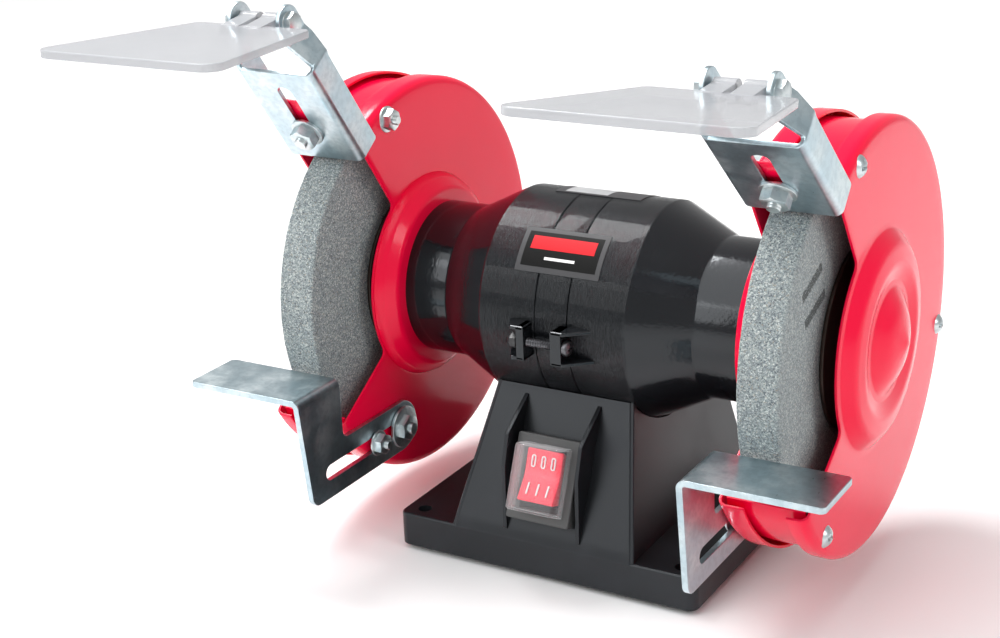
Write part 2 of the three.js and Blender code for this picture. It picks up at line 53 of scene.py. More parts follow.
# ---- Shapes. A part is (points, faces): its points, and for each face the numbers of its corners. ----
def grid(points, closeRows=False, closeColumns=False, caps=False):
    # rows and columns of points become four-sided faces between neighbours; caps close the first and last row
    rows, columns = points.shape[:2]
    index = np.arange(rows * columns).reshape(rows, columns)
    if closeRows:
        index = np.vstack([index, index[:1]])
    if closeColumns:
        index = np.hstack([index, index[:, :1]])
    corners = np.stack([index[:-1, :-1], index[1:, :-1], index[1:, 1:], index[:-1, 1:]], -1)
    faces = corners.reshape(-1, 4).tolist()
    if caps:
        faces += [index[0, :columns].tolist()[::-1], index[-1, :columns].tolist()]
    return points.reshape(-1, 3), faces


def together(*parts):
    points, faces, start = [], [], 0
    for partPoints, partFaces in parts:
        points.append(partPoints)
        faces += [[start + corner for corner in face] for face in partFaces]
        start += len(partPoints)
    return np.concatenate(points), faces


def shifted(part, x=0, y=0, z=0):
    return part[0] + np.array([x, y, z]), part[1]


def changed(part, change):
    # change takes the x, y and z of all points and gives the new ones
    return np.stack(change(*part[0].T), -1), part[1]


def handed(part, sign):
    return part[0] * np.array([sign, 1, 1]), part[1]


def meshOf(part, outward=True):
    # one mesh: points that coincide are merged, and the faces of a closed part are turned outwards
    mesh = bpy.data.meshes.new("surface")
    mesh.from_pydata(part[0].tolist(), [], part[1])
    work = bmesh.new()
    work.from_mesh(mesh)
    bmesh.ops.remove_doubles(work, verts=work.verts, dist=2e-3)
    bmesh.ops.dissolve_degenerate(work, edges=work.edges, dist=1e-4)
    if outward:
        bmesh.ops.recalc_face_normals(work, faces=work.faces)
    work.to_mesh(mesh)
    work.free()
    return mesh


def partOf(mesh):
    points = np.empty(len(mesh.vertices) * 3)
    mesh.vertices.foreach_get("co", points)
    return points.reshape(-1, 3), [list(face.vertices) for face in mesh.polygons]


def loose(part, outward=True):
    item = bpy.data.objects.new("loose", meshOf(part, outward))
    bpy.context.scene.collection.objects.link(item)
    return item


def worked(part, *steps, outward=True):
    # each step is a modifier's type and settings; the result is a part again
    item = loose(part, outward)
    for kind, settings in steps:
        modifier = item.modifiers.new(kind, kind)
        for key, value in settings.items():
            setattr(modifier, key, value)
    depsgraph = bpy.context.evaluated_depsgraph_get()
    result = partOf(bpy.data.meshes.new_from_object(item.evaluated_get(depsgraph)))
    bpy.data.objects.remove(item)
    return result


def edgesRounded(width, angle=40, segments=3):
    return "BEVEL", {"width": width, "segments": segments, "limit_method": "ANGLE",
                     "angle_limit": math.radians(angle), "use_clamp_overlap": True}


def cutBy(part, *tools):
    cutters = [loose(tool) for tool in tools]
    result = worked(part, *[("BOOLEAN", {"object": cutter, "operation": "DIFFERENCE", "solver": "EXACT"})
                            for cutter in cutters])
    for cutter in cutters:
        bpy.data.objects.remove(cutter)
    return result


def rounded(points, radii, steps=6, closed=True):
    # each corner of a polyline becomes an arc that touches both of its sides:
    # its centre is on the bisector, radius / sin(half the corner's angle) away
    points = np.array(points, float)
    count = len(points)
    radii = np.broadcast_to(radii, count)
    run = []
    for i in range(count):
        if radii[i] == 0 or (not closed and i in (0, count - 1)):
            run.append(points[i][None])
            continue
        back, ahead = points[i - 1] - points[i], points[(i + 1) % count] - points[i]
        back, ahead = back / np.linalg.norm(back), ahead / np.linalg.norm(ahead)
        half = 0.5 * math.acos(np.clip(back @ ahead, -1, 1))
        bisector = (back + ahead) / np.linalg.norm(back + ahead)
        centre = points[i] + bisector * radii[i] / math.sin(half)
        start = points[i] + back * radii[i] / math.tan(half) - centre
        sense = -np.sign(back[0] * ahead[1] - back[1] * ahead[0])
        angles = math.atan2(start[1], start[0]) + sense * np.linspace(0, math.pi - 2 * half, steps + 1)
        run.append(centre + radii[i] * np.stack([np.cos(angles), np.sin(angles)], -1))
    return np.concatenate(run)


def turned(profile, steps=96, ring=False):
    # lathe about X: the profile's point (x, r) at the angle a stands at (x, r cos a, r sin a)
    x, r = np.array(profile, float).T
    a = np.linspace(0, 2 * math.pi, steps, endpoint=False)
    points = np.stack([x[:, None] + 0 * a, r[:, None] * np.cos(a), r[:, None] * np.sin(a)], -1)
    return grid(points, closeRows=ring, closeColumns=True)


def plate(outlines, low, high, edge=0.3, segments=2):
    # flat sheet in the XY plane from low to high: the first outline goes round it, the others round its holes
    curve = bpy.data.curves.new("outline", "CURVE")
    curve.dimensions = "2D"
    curve.fill_mode = "BOTH"
    curve.extrude = (high - low) / 2 - edge
    curve.bevel_depth = edge
    curve.bevel_resolution = segments - 1
    curve.offset = -edge
    for outline in outlines:
        spline = curve.splines.new("POLY")
        spline.points.add(len(outline) - 1)
        flat = np.zeros((len(outline), 4))
        flat[:, :2] = outline
        flat[:, 3] = 1
        spline.points.foreach_set("co", flat.ravel())
        spline.use_cyclic_u = True
    item = bpy.data.objects.new("outline", curve)
    bpy.context.scene.collection.objects.link(item)
    points, faces = partOf(bpy.data.meshes.new_from_object(item))
    bpy.data.objects.remove(item)
    return points + np.array([0, 0, (low + high) / 2]), faces


def slitAcross(part, axis, places):
    # cuts the faces along planes across the axis, so that a fold there has points to bend at
    work = bmesh.new()
    work.from_mesh(meshOf(part))
    normal = Vector([float(axis == k) for k in range(3)])
    for place in places:
        everything = work.verts[:] + work.edges[:] + work.faces[:]
        bmesh.ops.bisect_plane(work, geom=everything, dist=1e-4, plane_co=normal * place, plane_no=normal)
    mesh = bpy.data.meshes.new("slit")
    work.to_mesh(mesh)
    work.free()
    return partOf(mesh)


def folded(part, axis, at, angle, inner, thickness, side=1, hand=1, cuts=8):
    # Sheet folding. What lies past the line turns by the angle towards +Z (side 1) or -Z (side -1), about a
    # centre that is the inner radius above the sheet.
    # The stretch that bends is the angle times its middle radius.
    length = angle * (inner + thickness / 2)
    part = slitAcross(part, axis, [hand * (at + length * k / cuts) for k in range(cuts + 1)])
    points, faces = part
    along = hand * points[:, axis] - at
    depth = points[:, 2] if side > 0 else thickness - points[:, 2]
    turn = angle * np.clip(along / length, 0, 1)
    rest = np.maximum(along - length, 0)
    reach = inner + thickness - depth
    newAlong = np.where(along < 0, along, reach * np.sin(turn) + rest * np.cos(turn))
    newDepth = np.where(along < 0, depth, inner + thickness - reach * np.cos(turn) + rest * np.sin(turn))
    points = points.copy()
    points[:, axis] = hand * (newAlong + at)
    points[:, 2] = newDepth if side > 0 else thickness - newDepth
    return points, faces


def hexagon(acrossFlats, low, high, lowChamfer=False, hole=0.0, steps=48):
    # hexagonal prism along X: at the angle a the radius is the apothem / cos(a folded into one flat),
    # and the chamfer cuts its corners down to a circle just inside the flats
    apothem = acrossFlats / 2
    a = np.linspace(0, 2 * math.pi, steps, endpoint=False)
    wall = apothem / np.cos((a + math.pi / 6) % (math.pi / 3) - math.pi / 6)
    crown = apothem * 0.97
    slope = (wall - crown) * math.tan(math.radians(28))
    rows = [(high, hole), (high, crown), (high - slope, wall)]
    rows += [(low + slope, wall), (low, crown), (low, hole)] if lowChamfer else [(low, wall), (low, hole)]
    points = np.stack([np.stack([x + 0 * a, r * np.cos(a), r * np.sin(a)], -1) for x, r in rows])
    return grid(points, closeRows=hole > 0, closeColumns=True)


def thread(radius, low, high, pitch=0.8, depth=0.35, steps=32):
    # screw thread as a stack of rings: the radius falls and rises once for each pitch
    turns = max(int((high - low) / pitch), 1)
    crests = low + (high - low) * np.arange(2 * turns + 1) / (2 * turns)
    radii = np.where(np.arange(2 * turns + 1) % 2, radius, radius - depth)
    radii[-1] = radius - depth
    return turned([(low, 0), *zip(crests, radii), (high, 0)], steps)


def aboutX(part, angle):
    c, s = math.cos(angle), math.sin(angle)
    return changed(part, lambda x, y, z: (x, c * y - s * z, s * y + c * z))


# A sheet drawn in the XY plane stands across X: its X goes to Y, its Y to Z and its thickness to X.
def standing(part):
    return changed(part, lambda x, y, z: (z, x, y))


made = []


def piece(name, part, material, body, replaces=(), smooth=32, weighted=False):
    # a finished piece: the part in metres in the frame, smooth but for edges sharper than the smooth angle
    mesh = meshOf(part)
    mesh.transform(Matrix.Diagonal((millimetre,) * 3 + (1,)) @ Matrix.Translation(shaftMiddle.tolist()))
    mesh.shade_smooth()
    mesh.set_sharp_from_angle(angle=math.radians(smooth))
    mesh.materials.append(material)
    mesh.name = name
    item = bpy.data.objects.new(name, mesh)
    bpy.context.scene.collection.objects.link(item)
    if weighted:
        modifier = item.modifiers.new("flat faces", "WEIGHTED_NORMAL")
        modifier.keep_sharp = True
    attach(item, body)
    if replaces:
        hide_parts(*replaces)
    made.append(item)
    return item


# ---- Materials ----
class Wire:
    # a shader socket that can be used in sums
    def __init__(self, finish, socket):
        self.finish, self.socket = finish, socket

    def math(self, operation, *values):
        return self.finish.node("ShaderNodeMath", {"operation": operation}, dict(enumerate(values)))

    def __add__(self, other):
        return self.math("ADD", self, other)

    def __sub__(self, other):
        return self.math("SUBTRACT", self, other)

    def __rsub__(self, other):
        return self.math("SUBTRACT", other, self)

    def __mul__(self, other):
        return self.math("MULTIPLY", self, other)

    def __gt__(self, other):
        return self.math("GREATER_THAN", self, other)

    def __lt__(self, other):
        return self.math("LESS_THAN", self, other)

    def size(self):
        return self.math("ABSOLUTE", self)

    def between(self, low, high):
        # 0 below low, 1 above high and a smooth rise between them
        return self.finish.node("ShaderNodeMapRange", {"interpolation_type": "SMOOTHSTEP"},
                                {"Value": self, "From Min": low, "From Max": high})

    __radd__ = __add__
    __rmul__ = __mul__


class Finish:
    def __init__(self, name, **fixed):
        self.material = bpy.data.materials.new(name)
        self.material.use_nodes = True
        self.tree = self.material.node_tree
        self.shader = self.tree.nodes["Principled BSDF"]
        for key, value in fixed.items():
            self.shader.inputs[key.replace("_", " ")].default_value = value

    def node(self, kind, settings=None, inputs=None, output=0):
        item = self.tree.nodes.new(kind)
        for key, value in (settings or {}).items():
            if key == "stops":
                for i, (place, colour) in enumerate(value):
                    stop = item.color_ramp.elements[i] if i < 2 else item.color_ramp.elements.new(place)
                    stop.position, stop.color = place, (*colour, 1)
            else:
                setattr(item, key, value)
        for key, value in (inputs or {}).items():
            if isinstance(value, Wire):
                self.tree.links.new(value.socket, item.inputs[key])
            else:
                item.inputs[key].default_value = value
        return Wire(self, item.outputs[output])

    def place(self, scale=(1, 1, 1), turn=(0, 0, 0)):
        # object coordinates in metres, scaled along each axis
        here = self.node("ShaderNodeTexCoord", output="Object")
        return self.node("ShaderNodeMapping", {}, {"Vector": here, "Scale": scale, "Rotation": turn})

    def axes(self):
        here = self.node("ShaderNodeTexCoord", output="Object")
        split = self.node("ShaderNodeSeparateXYZ", {}, {0: here}).socket.node
        return [Wire(self, split.outputs[k]) for k in range(3)]

    def noise(self, scale, detail=2.0, stretch=(1, 1, 1), rough=0.5):
        return self.node("ShaderNodeTexNoise", {}, {"Vector": self.place(stretch), "Scale": scale,
                                                    "Detail": detail, "Roughness": rough})

    def mix(self, amount, low, high):
        # colours: low where the amount is 0, high where it is 1
        inputs = {0: amount, 6: low if isinstance(low, Wire) else (*low, 1),
                  7: high if isinstance(high, Wire) else (*high, 1)}
        return self.node("ShaderNodeMix", {"data_type": "RGBA"}, inputs, output=2)

    def ramp(self, amount, *stops):
        return self.node("ShaderNodeValToRGB", {"stops": stops}, {0: amount})

    def bump(self, height, depth, before=None):
        # depth is in metres
        inputs = {"Height": height, "Distance": depth, "Strength": 1.0}
        if before:
            inputs["Normal"] = before
        return self.node("ShaderNodeBump", {}, inputs)

    def shade(self, **wires):
        for key, wire in wires.items():
            self.tree.links.new(wire.socket, self.shader.inputs[key.replace("_", " ")])
        return self.material


def blackEnamel(name, scratched=False):
    # black gloss over cast metal: orange peel, and on the barrel turning marks that run round the shaft
    finish = Finish(name, Coat_Weight=0.12, Coat_Roughness=0.03, Specular_IOR_Level=0.42,
                    Specular_Tint=(0.90, 0.95, 1.0, 1))
    peel = finish.noise(650, 2)
    wide = finish.noise(60, 2)
    normal = finish.bump(peel, 0.00006)
    rough = wide * 0.06 + 0.10
    if scratched:
        # turning marks: noise drawn out round the shaft, only as far as the barrel reaches
        barrel = 1 - finish.axes()[0].size().between(0.0305, 0.0325)
        marks = finish.noise(2000, 3, (1, 0.045, 0.045), 0.75) * barrel
        normal = finish.bump(marks, 0.0009, normal)
        rough = rough + marks * 0.20
    colour = finish.mix(wide, (0.004, 0.0045, 0.0055), (0.008, 0.009, 0.011))
    return finish.shade(Base_Color=colour, Roughness=rough, Normal=normal)


def blackSatin():
    # satin black on the base: fine even texture, and soft wear that lightens it here and there
    finish = Finish("satin black", Specular_IOR_Level=0.42, Specular_Tint=(0.90, 0.95, 1.0, 1))
    grain = finish.noise(2200, 2)
    wear = finish.noise(45, 4).between(0.45, 0.8)
    colour = finish.mix(wear, (0.006, 0.0065, 0.008), (0.012, 0.013, 0.016))
    return finish.shade(Base_Color=colour, Roughness=wear * 0.10 + grain * 0.10 + 0.30,
                        Normal=finish.bump(grain, 0.00003))


def redEnamel():
    # red gloss on pressed sheet: slight waves of the sheet under a smooth coat
    finish = Finish("red enamel", Coat_Weight=0.12, Coat_Roughness=0.04, Specular_IOR_Level=0.22)
    sheet = finish.noise(40, 2)
    peel = finish.noise(900, 1)
    colour = finish.mix(finish.noise(18, 3), (0.84, 0.001, 0.037), (0.92, 0.002, 0.050))
    normal = finish.bump(peel, 0.00002, finish.bump(sheet, 0.00022))
    return finish.shade(Base_Color=colour, Roughness=finish.noise(300, 2) * 0.08 + 0.16, Normal=normal)


def zincPlate(name="zinc plate", tint=(0.44, 0.55, 0.60)):
    # bright zinc: cloudy bluish and straw tints, fine rolling lines and small stains
    finish = Finish(name, Metallic=1.0)
    cloud = finish.noise(70, 4).between(0.35, 0.7)
    lines = finish.noise(900, 2, (1, 0.12, 0.12))
    spots = finish.noise(1400, 2).between(0.66, 0.78)
    colour = finish.mix(cloud, tint, (0.60, 0.67, 0.69))
    flakes = finish.noise(420, 3).between(0.42, 0.62)
    colour = finish.mix(flakes * 0.30, colour, (0.30, 0.38, 0.42))
    colour = finish.mix(spots * 0.35, colour, (0.30, 0.31, 0.30))
    return finish.shade(Base_Color=colour, Roughness=cloud * 0.10 + lines * 0.08 + spots * 0.15 + 0.25,
                        Normal=finish.bump(lines, 0.00002))


def abrasive(name, strokes=()):
    # bonded grain: cells of random shade in two sizes with pores between; the sides are dressed finer
    finish = Finish(name, Specular_IOR_Level=0.35)
    x, y, z = finish.axes()
    coarse = finish.node("ShaderNodeTexVoronoi", {"feature": "F1"},
                         {"Vector": finish.place(), "Scale": 1900.0}, output="Color")
    fine = finish.node("ShaderNodeTexVoronoi", {"feature": "F1"}, {"Vector": finish.place(), "Scale": 3300.0},
                       output="Color")
    grains = [(0.0, (0.05, 0.057, 0.070)), (0.15, (0.13, 0.155, 0.175)), (0.40, (0.23, 0.27, 0.285)),
              (0.62, (0.29, 0.335, 0.33)), (0.80, (0.40, 0.44, 0.43)), (0.93, (0.68, 0.72, 0.70)),
              (1.0, (0.26, 0.21, 0.15))]
    coarseColour = finish.ramp(finish.node("ShaderNodeSeparateXYZ", {}, {0: coarse}), *grains)
    fineShade = finish.node("ShaderNodeSeparateXYZ", {}, {0: fine})
    fineColour = finish.ramp(fineShade, *grains)
    mixed = finish.mix(0.42, coarseColour, fineColour)
    flank = (x.size() > (wheel["centre"] + wheel["width"] / 2 - 0.8) * millimetre)
    smoothColour = finish.mix(0.30, mixed, (0.33, 0.35, 0.35))
    colour = finish.mix(flank, mixed, smoothColour)
    rough = finish.noise(900, 3)
    for (y0, z0), (y1, z1) in strokes:
        # a crayon stroke: within half its width of the line from (y0, z0) to (y1, z1), broken by the grain
        length = math.hypot(y1 - y0, z1 - z0)
        along = ((y1 - y0) / length, (z1 - z0) / length)
        start = [(shaftMiddle[1] + y0) * millimetre, (shaftMiddle[2] + z0) * millimetre]
        run = (y - start[0]) * along[0] + (z - start[1]) * along[1]
        away = ((z - start[1]) * along[0] - (y - start[0]) * along[1]).size()
        edge = (rough - 0.5) * 0.0026
        inside = (1 - (away + edge).between(0.0015, 0.0022)) * (run > 0) * (run < length * millimetre)
        inside = inside * flank * (x > 0) * (fineShade > 0.10)
        colour = finish.mix(inside * 0.85, colour, (0.055, 0.06, 0.06))
    height = finish.node("ShaderNodeSeparateXYZ", {}, {0: coarse}, output=1)
    normal = finish.bump(height + rough, 0.00010)
    return finish.shade(Base_Color=colour, Roughness=rough * 0.1 + 0.85, Normal=normal)


def clearSheet():
    # clear plastic with a faint grey body: mostly see-through face on, milky along its edges
    finish = Finish("clear sheet", Roughness=0.12, IOR=1.49)
    cloud = finish.noise(30, 3)
    colour = finish.mix(cloud, (0.44, 0.45, 0.475), (0.49, 0.50, 0.52))
    rim = finish.node("ShaderNodeLayerWeight", {}, {"Blend": 0.35}, output="Facing")
    return finish.shade(Base_Color=colour, Alpha=rim * 0.25 + 0.58, Normal=finish.bump(cloud, 0.00006))


def clearMoulding():
    # thin clear boot over the switch: see-through face on, brighter where it turns away
    finish = Finish("clear moulding", Roughness=0.06, Coat_Weight=0.4, IOR=1.45)
    rim = finish.node("ShaderNodeLayerWeight", {}, {"Blend": 0.5}, output="Facing")
    cloud = finish.noise(160, 2)
    colour = finish.mix(cloud, (0.80, 0.80, 0.82), (0.88, 0.88, 0.90))
    return finish.shade(Base_Color=colour, Alpha=rim.between(0.35, 0.95) * 0.6 + 0.07)


def plain(name, low, high, roughness, grainScale=1500, depth=0.00002, metal=0.0, **fixed):
    # one colour with a fine grain, used where little of the surface shows
    finish = Finish(name, Metallic=metal, **fixed)
    grain = finish.noise(grainScale, 3)
    broad = finish.noise(80, 2)
    return finish.shade(Base_Color=finish.mix(broad, low, high), Roughness=grain * 0.12 + roughness,
                        Normal=finish.bump(grain, depth))


wheel = {"radius": 75, "width": 16, "centre": 98.7, "bore": 6.65,
         "strokes": [((-54.2, 31.5), (-35.7, 38.3)), ((-51.2, 20.9), (-32.0, 27.4))]}

finishes = {
    "enamel": blackEnamel("black enamel"),
    "barrel": blackEnamel("turned black enamel", scratched=True),
    "satin": blackSatin(),
    "red": redEnamel(),
    "zinc": zincPlate(),
    "zincBright": zincPlate("bright zinc fastener", (0.62, 0.66, 0.66)),
    "grit": abrasive("abrasive"),
    "markedGrit": abrasive("marked abrasive", wheel["strokes"]),
    "clear": clearSheet(),
    "boot": clearMoulding(),
    "darkSteel": plain("dark steel", (0.035, 0.022, 0.018), (0.06, 0.04, 0.032), 0.30, metal=0.6),
    "steel": plain("turned steel", (0.42, 0.43, 0.45), (0.55, 0.56, 0.58), 0.25, 900, metal=1.0),
    "blackSteel": plain("blackened steel", (0.10, 0.10, 0.11), (0.16, 0.16, 0.17), 0.30, metal=0.9),
    # the tie nut: black, and painted darker than the screw's blackened steel as shade of the lug pocket it
    # sits in
    "pocketShadedNut": plain("black nut with painted pocket shade", (0.015, 0.015, 0.016), (0.03, 0.03, 0.032), 0.40),
    "rubber": plain("rubber", (0.012, 0.012, 0.013), (0.022, 0.022, 0.023), 0.70, 1200, 0.00006),
    "bezel": plain("switch plastic", (0.045, 0.046, 0.047), (0.060, 0.061, 0.061), 0.42, 2500, 0.00002),
    "rocker": plain("red plastic", (0.85, 0.002, 0.035), (0.92, 0.006, 0.05), 0.22, 1200, 0.00001),
    "mark": plain("white print", (0.80, 0.78, 0.78), (0.88, 0.86, 0.86), 0.35),
    "plateRim": plain("plate rim", (0.035, 0.035, 0.038), (0.06, 0.06, 0.063), 0.45, Specular_IOR_Level=0.3),
    "plateBlack": plain("plate black", (0.003, 0.003, 0.003), (0.005, 0.005, 0.005), 0.45,
                        Specular_IOR_Level=0.12),
    "plateRed": plain("plate red", (0.62, 0.004, 0.012), (0.70, 0.008, 0.016), 0.45, Specular_IOR_Level=0.2),
    "silver": plain("silver foil", (0.45, 0.46, 0.47), (0.75, 0.76, 0.77), 0.35, 600, 0.00006, metal=0.7),
    "copper": plain("varnished wire", (0.45, 0.16, 0.06), (0.60, 0.26, 0.12), 0.35, 700, 0.0001, metal=0.8),
    "lamination": plain("core steel", (0.14, 0.14, 0.15), (0.22, 0.22, 0.23), 0.40, 900, metal=0.8),
    "can": plain("capacitor can", (0.60, 0.58, 0.50), (0.68, 0.66, 0.58), 0.45, 300),
}
print("finishes made:", len(finishes))


# ---- Motor ----
motor = {"radius": 43.7, "neck": 32.2, "barrelEnd": 31.9, "coneEnd": 54.9, "neckEnd": 75, "wall": 3.8,
         "bandHalf": 7}


def housing():
    # turned shell: barrel, cone and neck, with the corners that a casting has
    m = motor
    outside = [(m["bandHalf"] + 0.3, m["radius"]), (m["barrelEnd"], m["radius"]), (m["coneEnd"], m["neck"]),
               (m["neckEnd"], m["neck"]), (m["neckEnd"], 9)]
    inside = [(73, 9), (73, m["neck"] - m["wall"]), (m["coneEnd"] - 1.5, m["neck"] - m["wall"]),
              (m["barrelEnd"] - 1.5, m["radius"] - m["wall"]), (m["bandHalf"] + 0.3, m["radius"] - m["wall"])]
    return turned(rounded(outside + inside, [0.5, 2.2, 2.6, 0.9, 0.4, 0, 1, 2, 2, 0.3]), 192, ring=True)


lug = {"low": -11, "high": 3, "front": -51, "root": -41.5, "wall": 1.5,
       "right": (3.8, 8.4, 9.2, 20), "left": (8, 11.2, 14, 19)}


def lugShape(key):
    # a cast ear for the tie screw: a front block, and a floor and a roof that run back to the barrel,
    # with the pocket between them open to the outside
    inner, outer, tip, root = lug[key]
    block = plate([[(inner, lug["root"]), (inner, lug["front"]), (outer, lug["front"]),
                    (outer, lug["root"])]],
                  lug["low"], lug["high"], 0.5)
    wedge = rounded([(inner, lug["root"]), (inner, lug["front"]), (tip, lug["front"]), (root, lug["root"])],
                    [0, 0.5, 0.8, 0.8])
    floor = plate([wedge], lug["low"], lug["low"] + lug["wall"], 0.4)
    roof = plate([wedge], lug["high"] - lug["wall"], lug["high"], 0.4)
    return together(block, floor, roof)


def turnedRound(part):
    # the same shape on the other side of the shaft and of the middle
    return changed(part, lambda x, y, z: (-x, -y, z))


for side, sign in sides.items():
    shell = handed(housing(), sign)
    # the rear lug is the front lug turned half round, so it belongs to the other housing's front one
    other = "left" if side == "right" else "right"
    lugs = together(handed(lugShape(side), sign), turnedRound(handed(lugShape(other), -sign)))
    piece(f"housing_{side}_casting", shell, finishes["barrel"], "frame", [f"housing_{side}"],
          28)
    piece(f"housing_{side}_lugs", lugs, finishes["enamel"], "frame", weighted=True)

half = motor["bandHalf"]
band = rounded([(-half, motor["radius"] - 4), (-half, motor["radius"] - 0.1), (half, motor["radius"] - 0.1),
                (half, motor["radius"] - 4)], [0, 0.25, 0.25, 0], 3)
bandCore = [(half, 39.6), (20, 39.6), (20, 25.2), (-20, 25.2), (-20, 39.6), (-half, 39.6)]
piece("stator_band", turned(list(map(tuple, band)) + bandCore, 192, ring=True), finishes["barrel"], "frame",
      ["stator_core"])

tie = {"y": -47.8, "z": -4, "radius": 1.8}
for end, sign in (("front", 1), ("rear", -1)):
    screw = together(thread(tie["radius"], -16, 8.6, 1.1, 0.45, 24),
                     turned(rounded([(8.5, 0), (8.5, 3.1), (10.4, 3.1), (11.3, 1.6), (11.3, 0)],
                                    [0, 0.2, 0.7, 0.4, 0], 3, closed=False), 24))
    bar = ((-2, -0.35), (2, -0.35), (2, 0.35), (-2, 0.35))
    cross = grid(np.array([[(x, u, v) for u, v in bar] for x in (10.5, 12)]), closeColumns=True, caps=True)
    screw = cutBy(screw, cross, aboutX(cross, math.pi / 2))
    screw = shifted(screw, 0, tie["y"] * sign, tie["z"])
    nut = shifted(hexagon(5.7, -14.6, -11.8, True, 2.1), 0, tie["y"] * sign, tie["z"])
    piece(f"tie_screw_{end}_steel", screw, finishes["blackSteel"], "frame", [f"tie_screw_{end}"])
    # the nut's finish carries painted shade of the lug pocket round it
    piece(f"tie_nut_{end}_steel", nut, finishes["pocketShadedNut"], "frame", [f"tie_nut_{end}"])
print("motor made")

# Name plate and top foil, laid round the barrel. Angles run from the back, up over the top.
label = {"x": (-18.2, 18.6), "angles": (150.7, 125.8)}


def laidRound(xs, angles, radius, thickness, steps=24):
    # a thin patch: the point (x, a) stands at (x, r cos a, r sin a), once outside and once inside
    x = np.array(xs, float)
    a = np.radians(np.linspace(*angles, steps))
    rows = []
    for r in (radius, radius + thickness):
        rows.append(np.stack([x[:, None] + 0 * a, 0 * x[:, None] + r * np.cos(a),
                              0 * x[:, None] + r * np.sin(a)], -1))
    ring = np.stack([rows[0][0], rows[0][1], rows[1][1], rows[1][0]])
    return grid(ring.transpose(1, 0, 2), closeColumns=True, caps=True)


def labelPart(u0, u1, v0, v1, lift):
    # u runs along the plate from left to right and v down it, both from 0 to 1
    x0, x1 = label["x"]
    top, bottom = label["angles"][1], label["angles"][0]
    return laidRound((x0 + (x1 - x0) * u0, x0 + (x1 - x0) * u1),
                     (top + (bottom - top) * v0, top + (bottom - top) * v1), motor["radius"] - 0.3,
                     0.3 + lift)


piece("name_plate", labelPart(0, 1, 0, 1, 0.25), finishes["plateRim"], "frame")
piece("name_plate_panel", labelPart(0.055, 0.945, 0.10, 0.88, 0.30), finishes["plateBlack"], "frame")
piece("name_plate_bar", labelPart(0.12, 0.88, 0.20, 0.50, 0.35), finishes["plateRed"], "frame")
piece("name_plate_line", labelPart(0.32, 0.68, 0.66, 0.72, 0.35), finishes["mark"], "frame")
piece("rating_foil", laidRound((-19, 19), (92.5, 66), motor["radius"] - 0.3, 0.5), finishes["plateRim"],
      "frame")
piece("rating_foil_face", laidRound((-15, 4), (90.8, 70), motor["radius"] - 0.3, 0.55), finishes["silver"],
      "frame")
print("plates made")


# ---- Wheels and rotor ----
def wheelShape():
    # turned rim with chipped edges: fine random steps on every ring but the bore
    w = wheel
    face, back = w["centre"] - w["width"] / 2, w["centre"] + w["width"] / 2
    across = np.linspace(face + 0.8, back - 0.8, 22)
    profile = [(face, w["bore"]), (face, 40), (face, w["radius"] - 1.2), (face + 0.2, w["radius"] - 0.4)]
    profile += [(x, w["radius"]) for x in across]
    profile += [(back - 0.2, w["radius"] - 0.4), (back, w["radius"] - 1.2), (back, 40), (back, w["bore"])]
    points, faces = turned(profile, 360, ring=True)
    random = np.random.default_rng(7)
    radius = np.hypot(points[:, 1], points[:, 2])
    step = np.where(radius > w["radius"] - 1.5, 1 + random.uniform(-0.0028, 0.0, len(points)), 1)
    points[:, 1:] *= step[:, None]
    return points, faces


def flange(near, far, out):
    # pressed disc with a rounded rim, thicker towards the shaft
    return turned(rounded([(near, wheel["bore"]), (near, 18), (far - out * 1.6, 37), (far, 37),
                           (far, wheel["bore"])],
                          [0, 1.5, 0.6, 0.4, 0], 4), 128, ring=True)


for side, sign in sides.items():
    grit = finishes["markedGrit"] if side == "right" else finishes["grit"]
    piece(f"wheel_{side}_stone", handed(wheelShape(), sign), grit, "rotor", [f"wheel_{side}"], 60)
    face, back = wheel["centre"] - wheel["width"] / 2, wheel["centre"] + wheel["width"] / 2
    piece(f"inner_flange_{side}_disc", handed(flange(face - 3.3, face - 0.3, 1), sign), finishes["darkSteel"],
          "rotor",
          [f"inner_flange_{side}"])
    piece(f"outer_flange_{side}_disc", handed(flange(back + 3.8, back + 0.3, -1), sign),
          finishes["darkSteel"], "rotor",
          [f"outer_flange_{side}"])
    nut = hexagon(19, back + 4.1, 119.6, True, wheel["bore"])
    piece(f"wheel_nut_{side}_hexagon", handed(nut, sign), finishes["zincBright"], "rotor",
          [f"wheel_nut_{side}"])
print("wheels made")


# ---- Guards ----
guard = {"radius": 83.2, "inner": 83.0, "outer": 115.6, "sheet": 1.0, "hub": 44.5, "low": -148, "high": 125,
         "fillet": 3.0, "bend": 2.6, "innerLip": 9.5, "coverLip": 7.0}


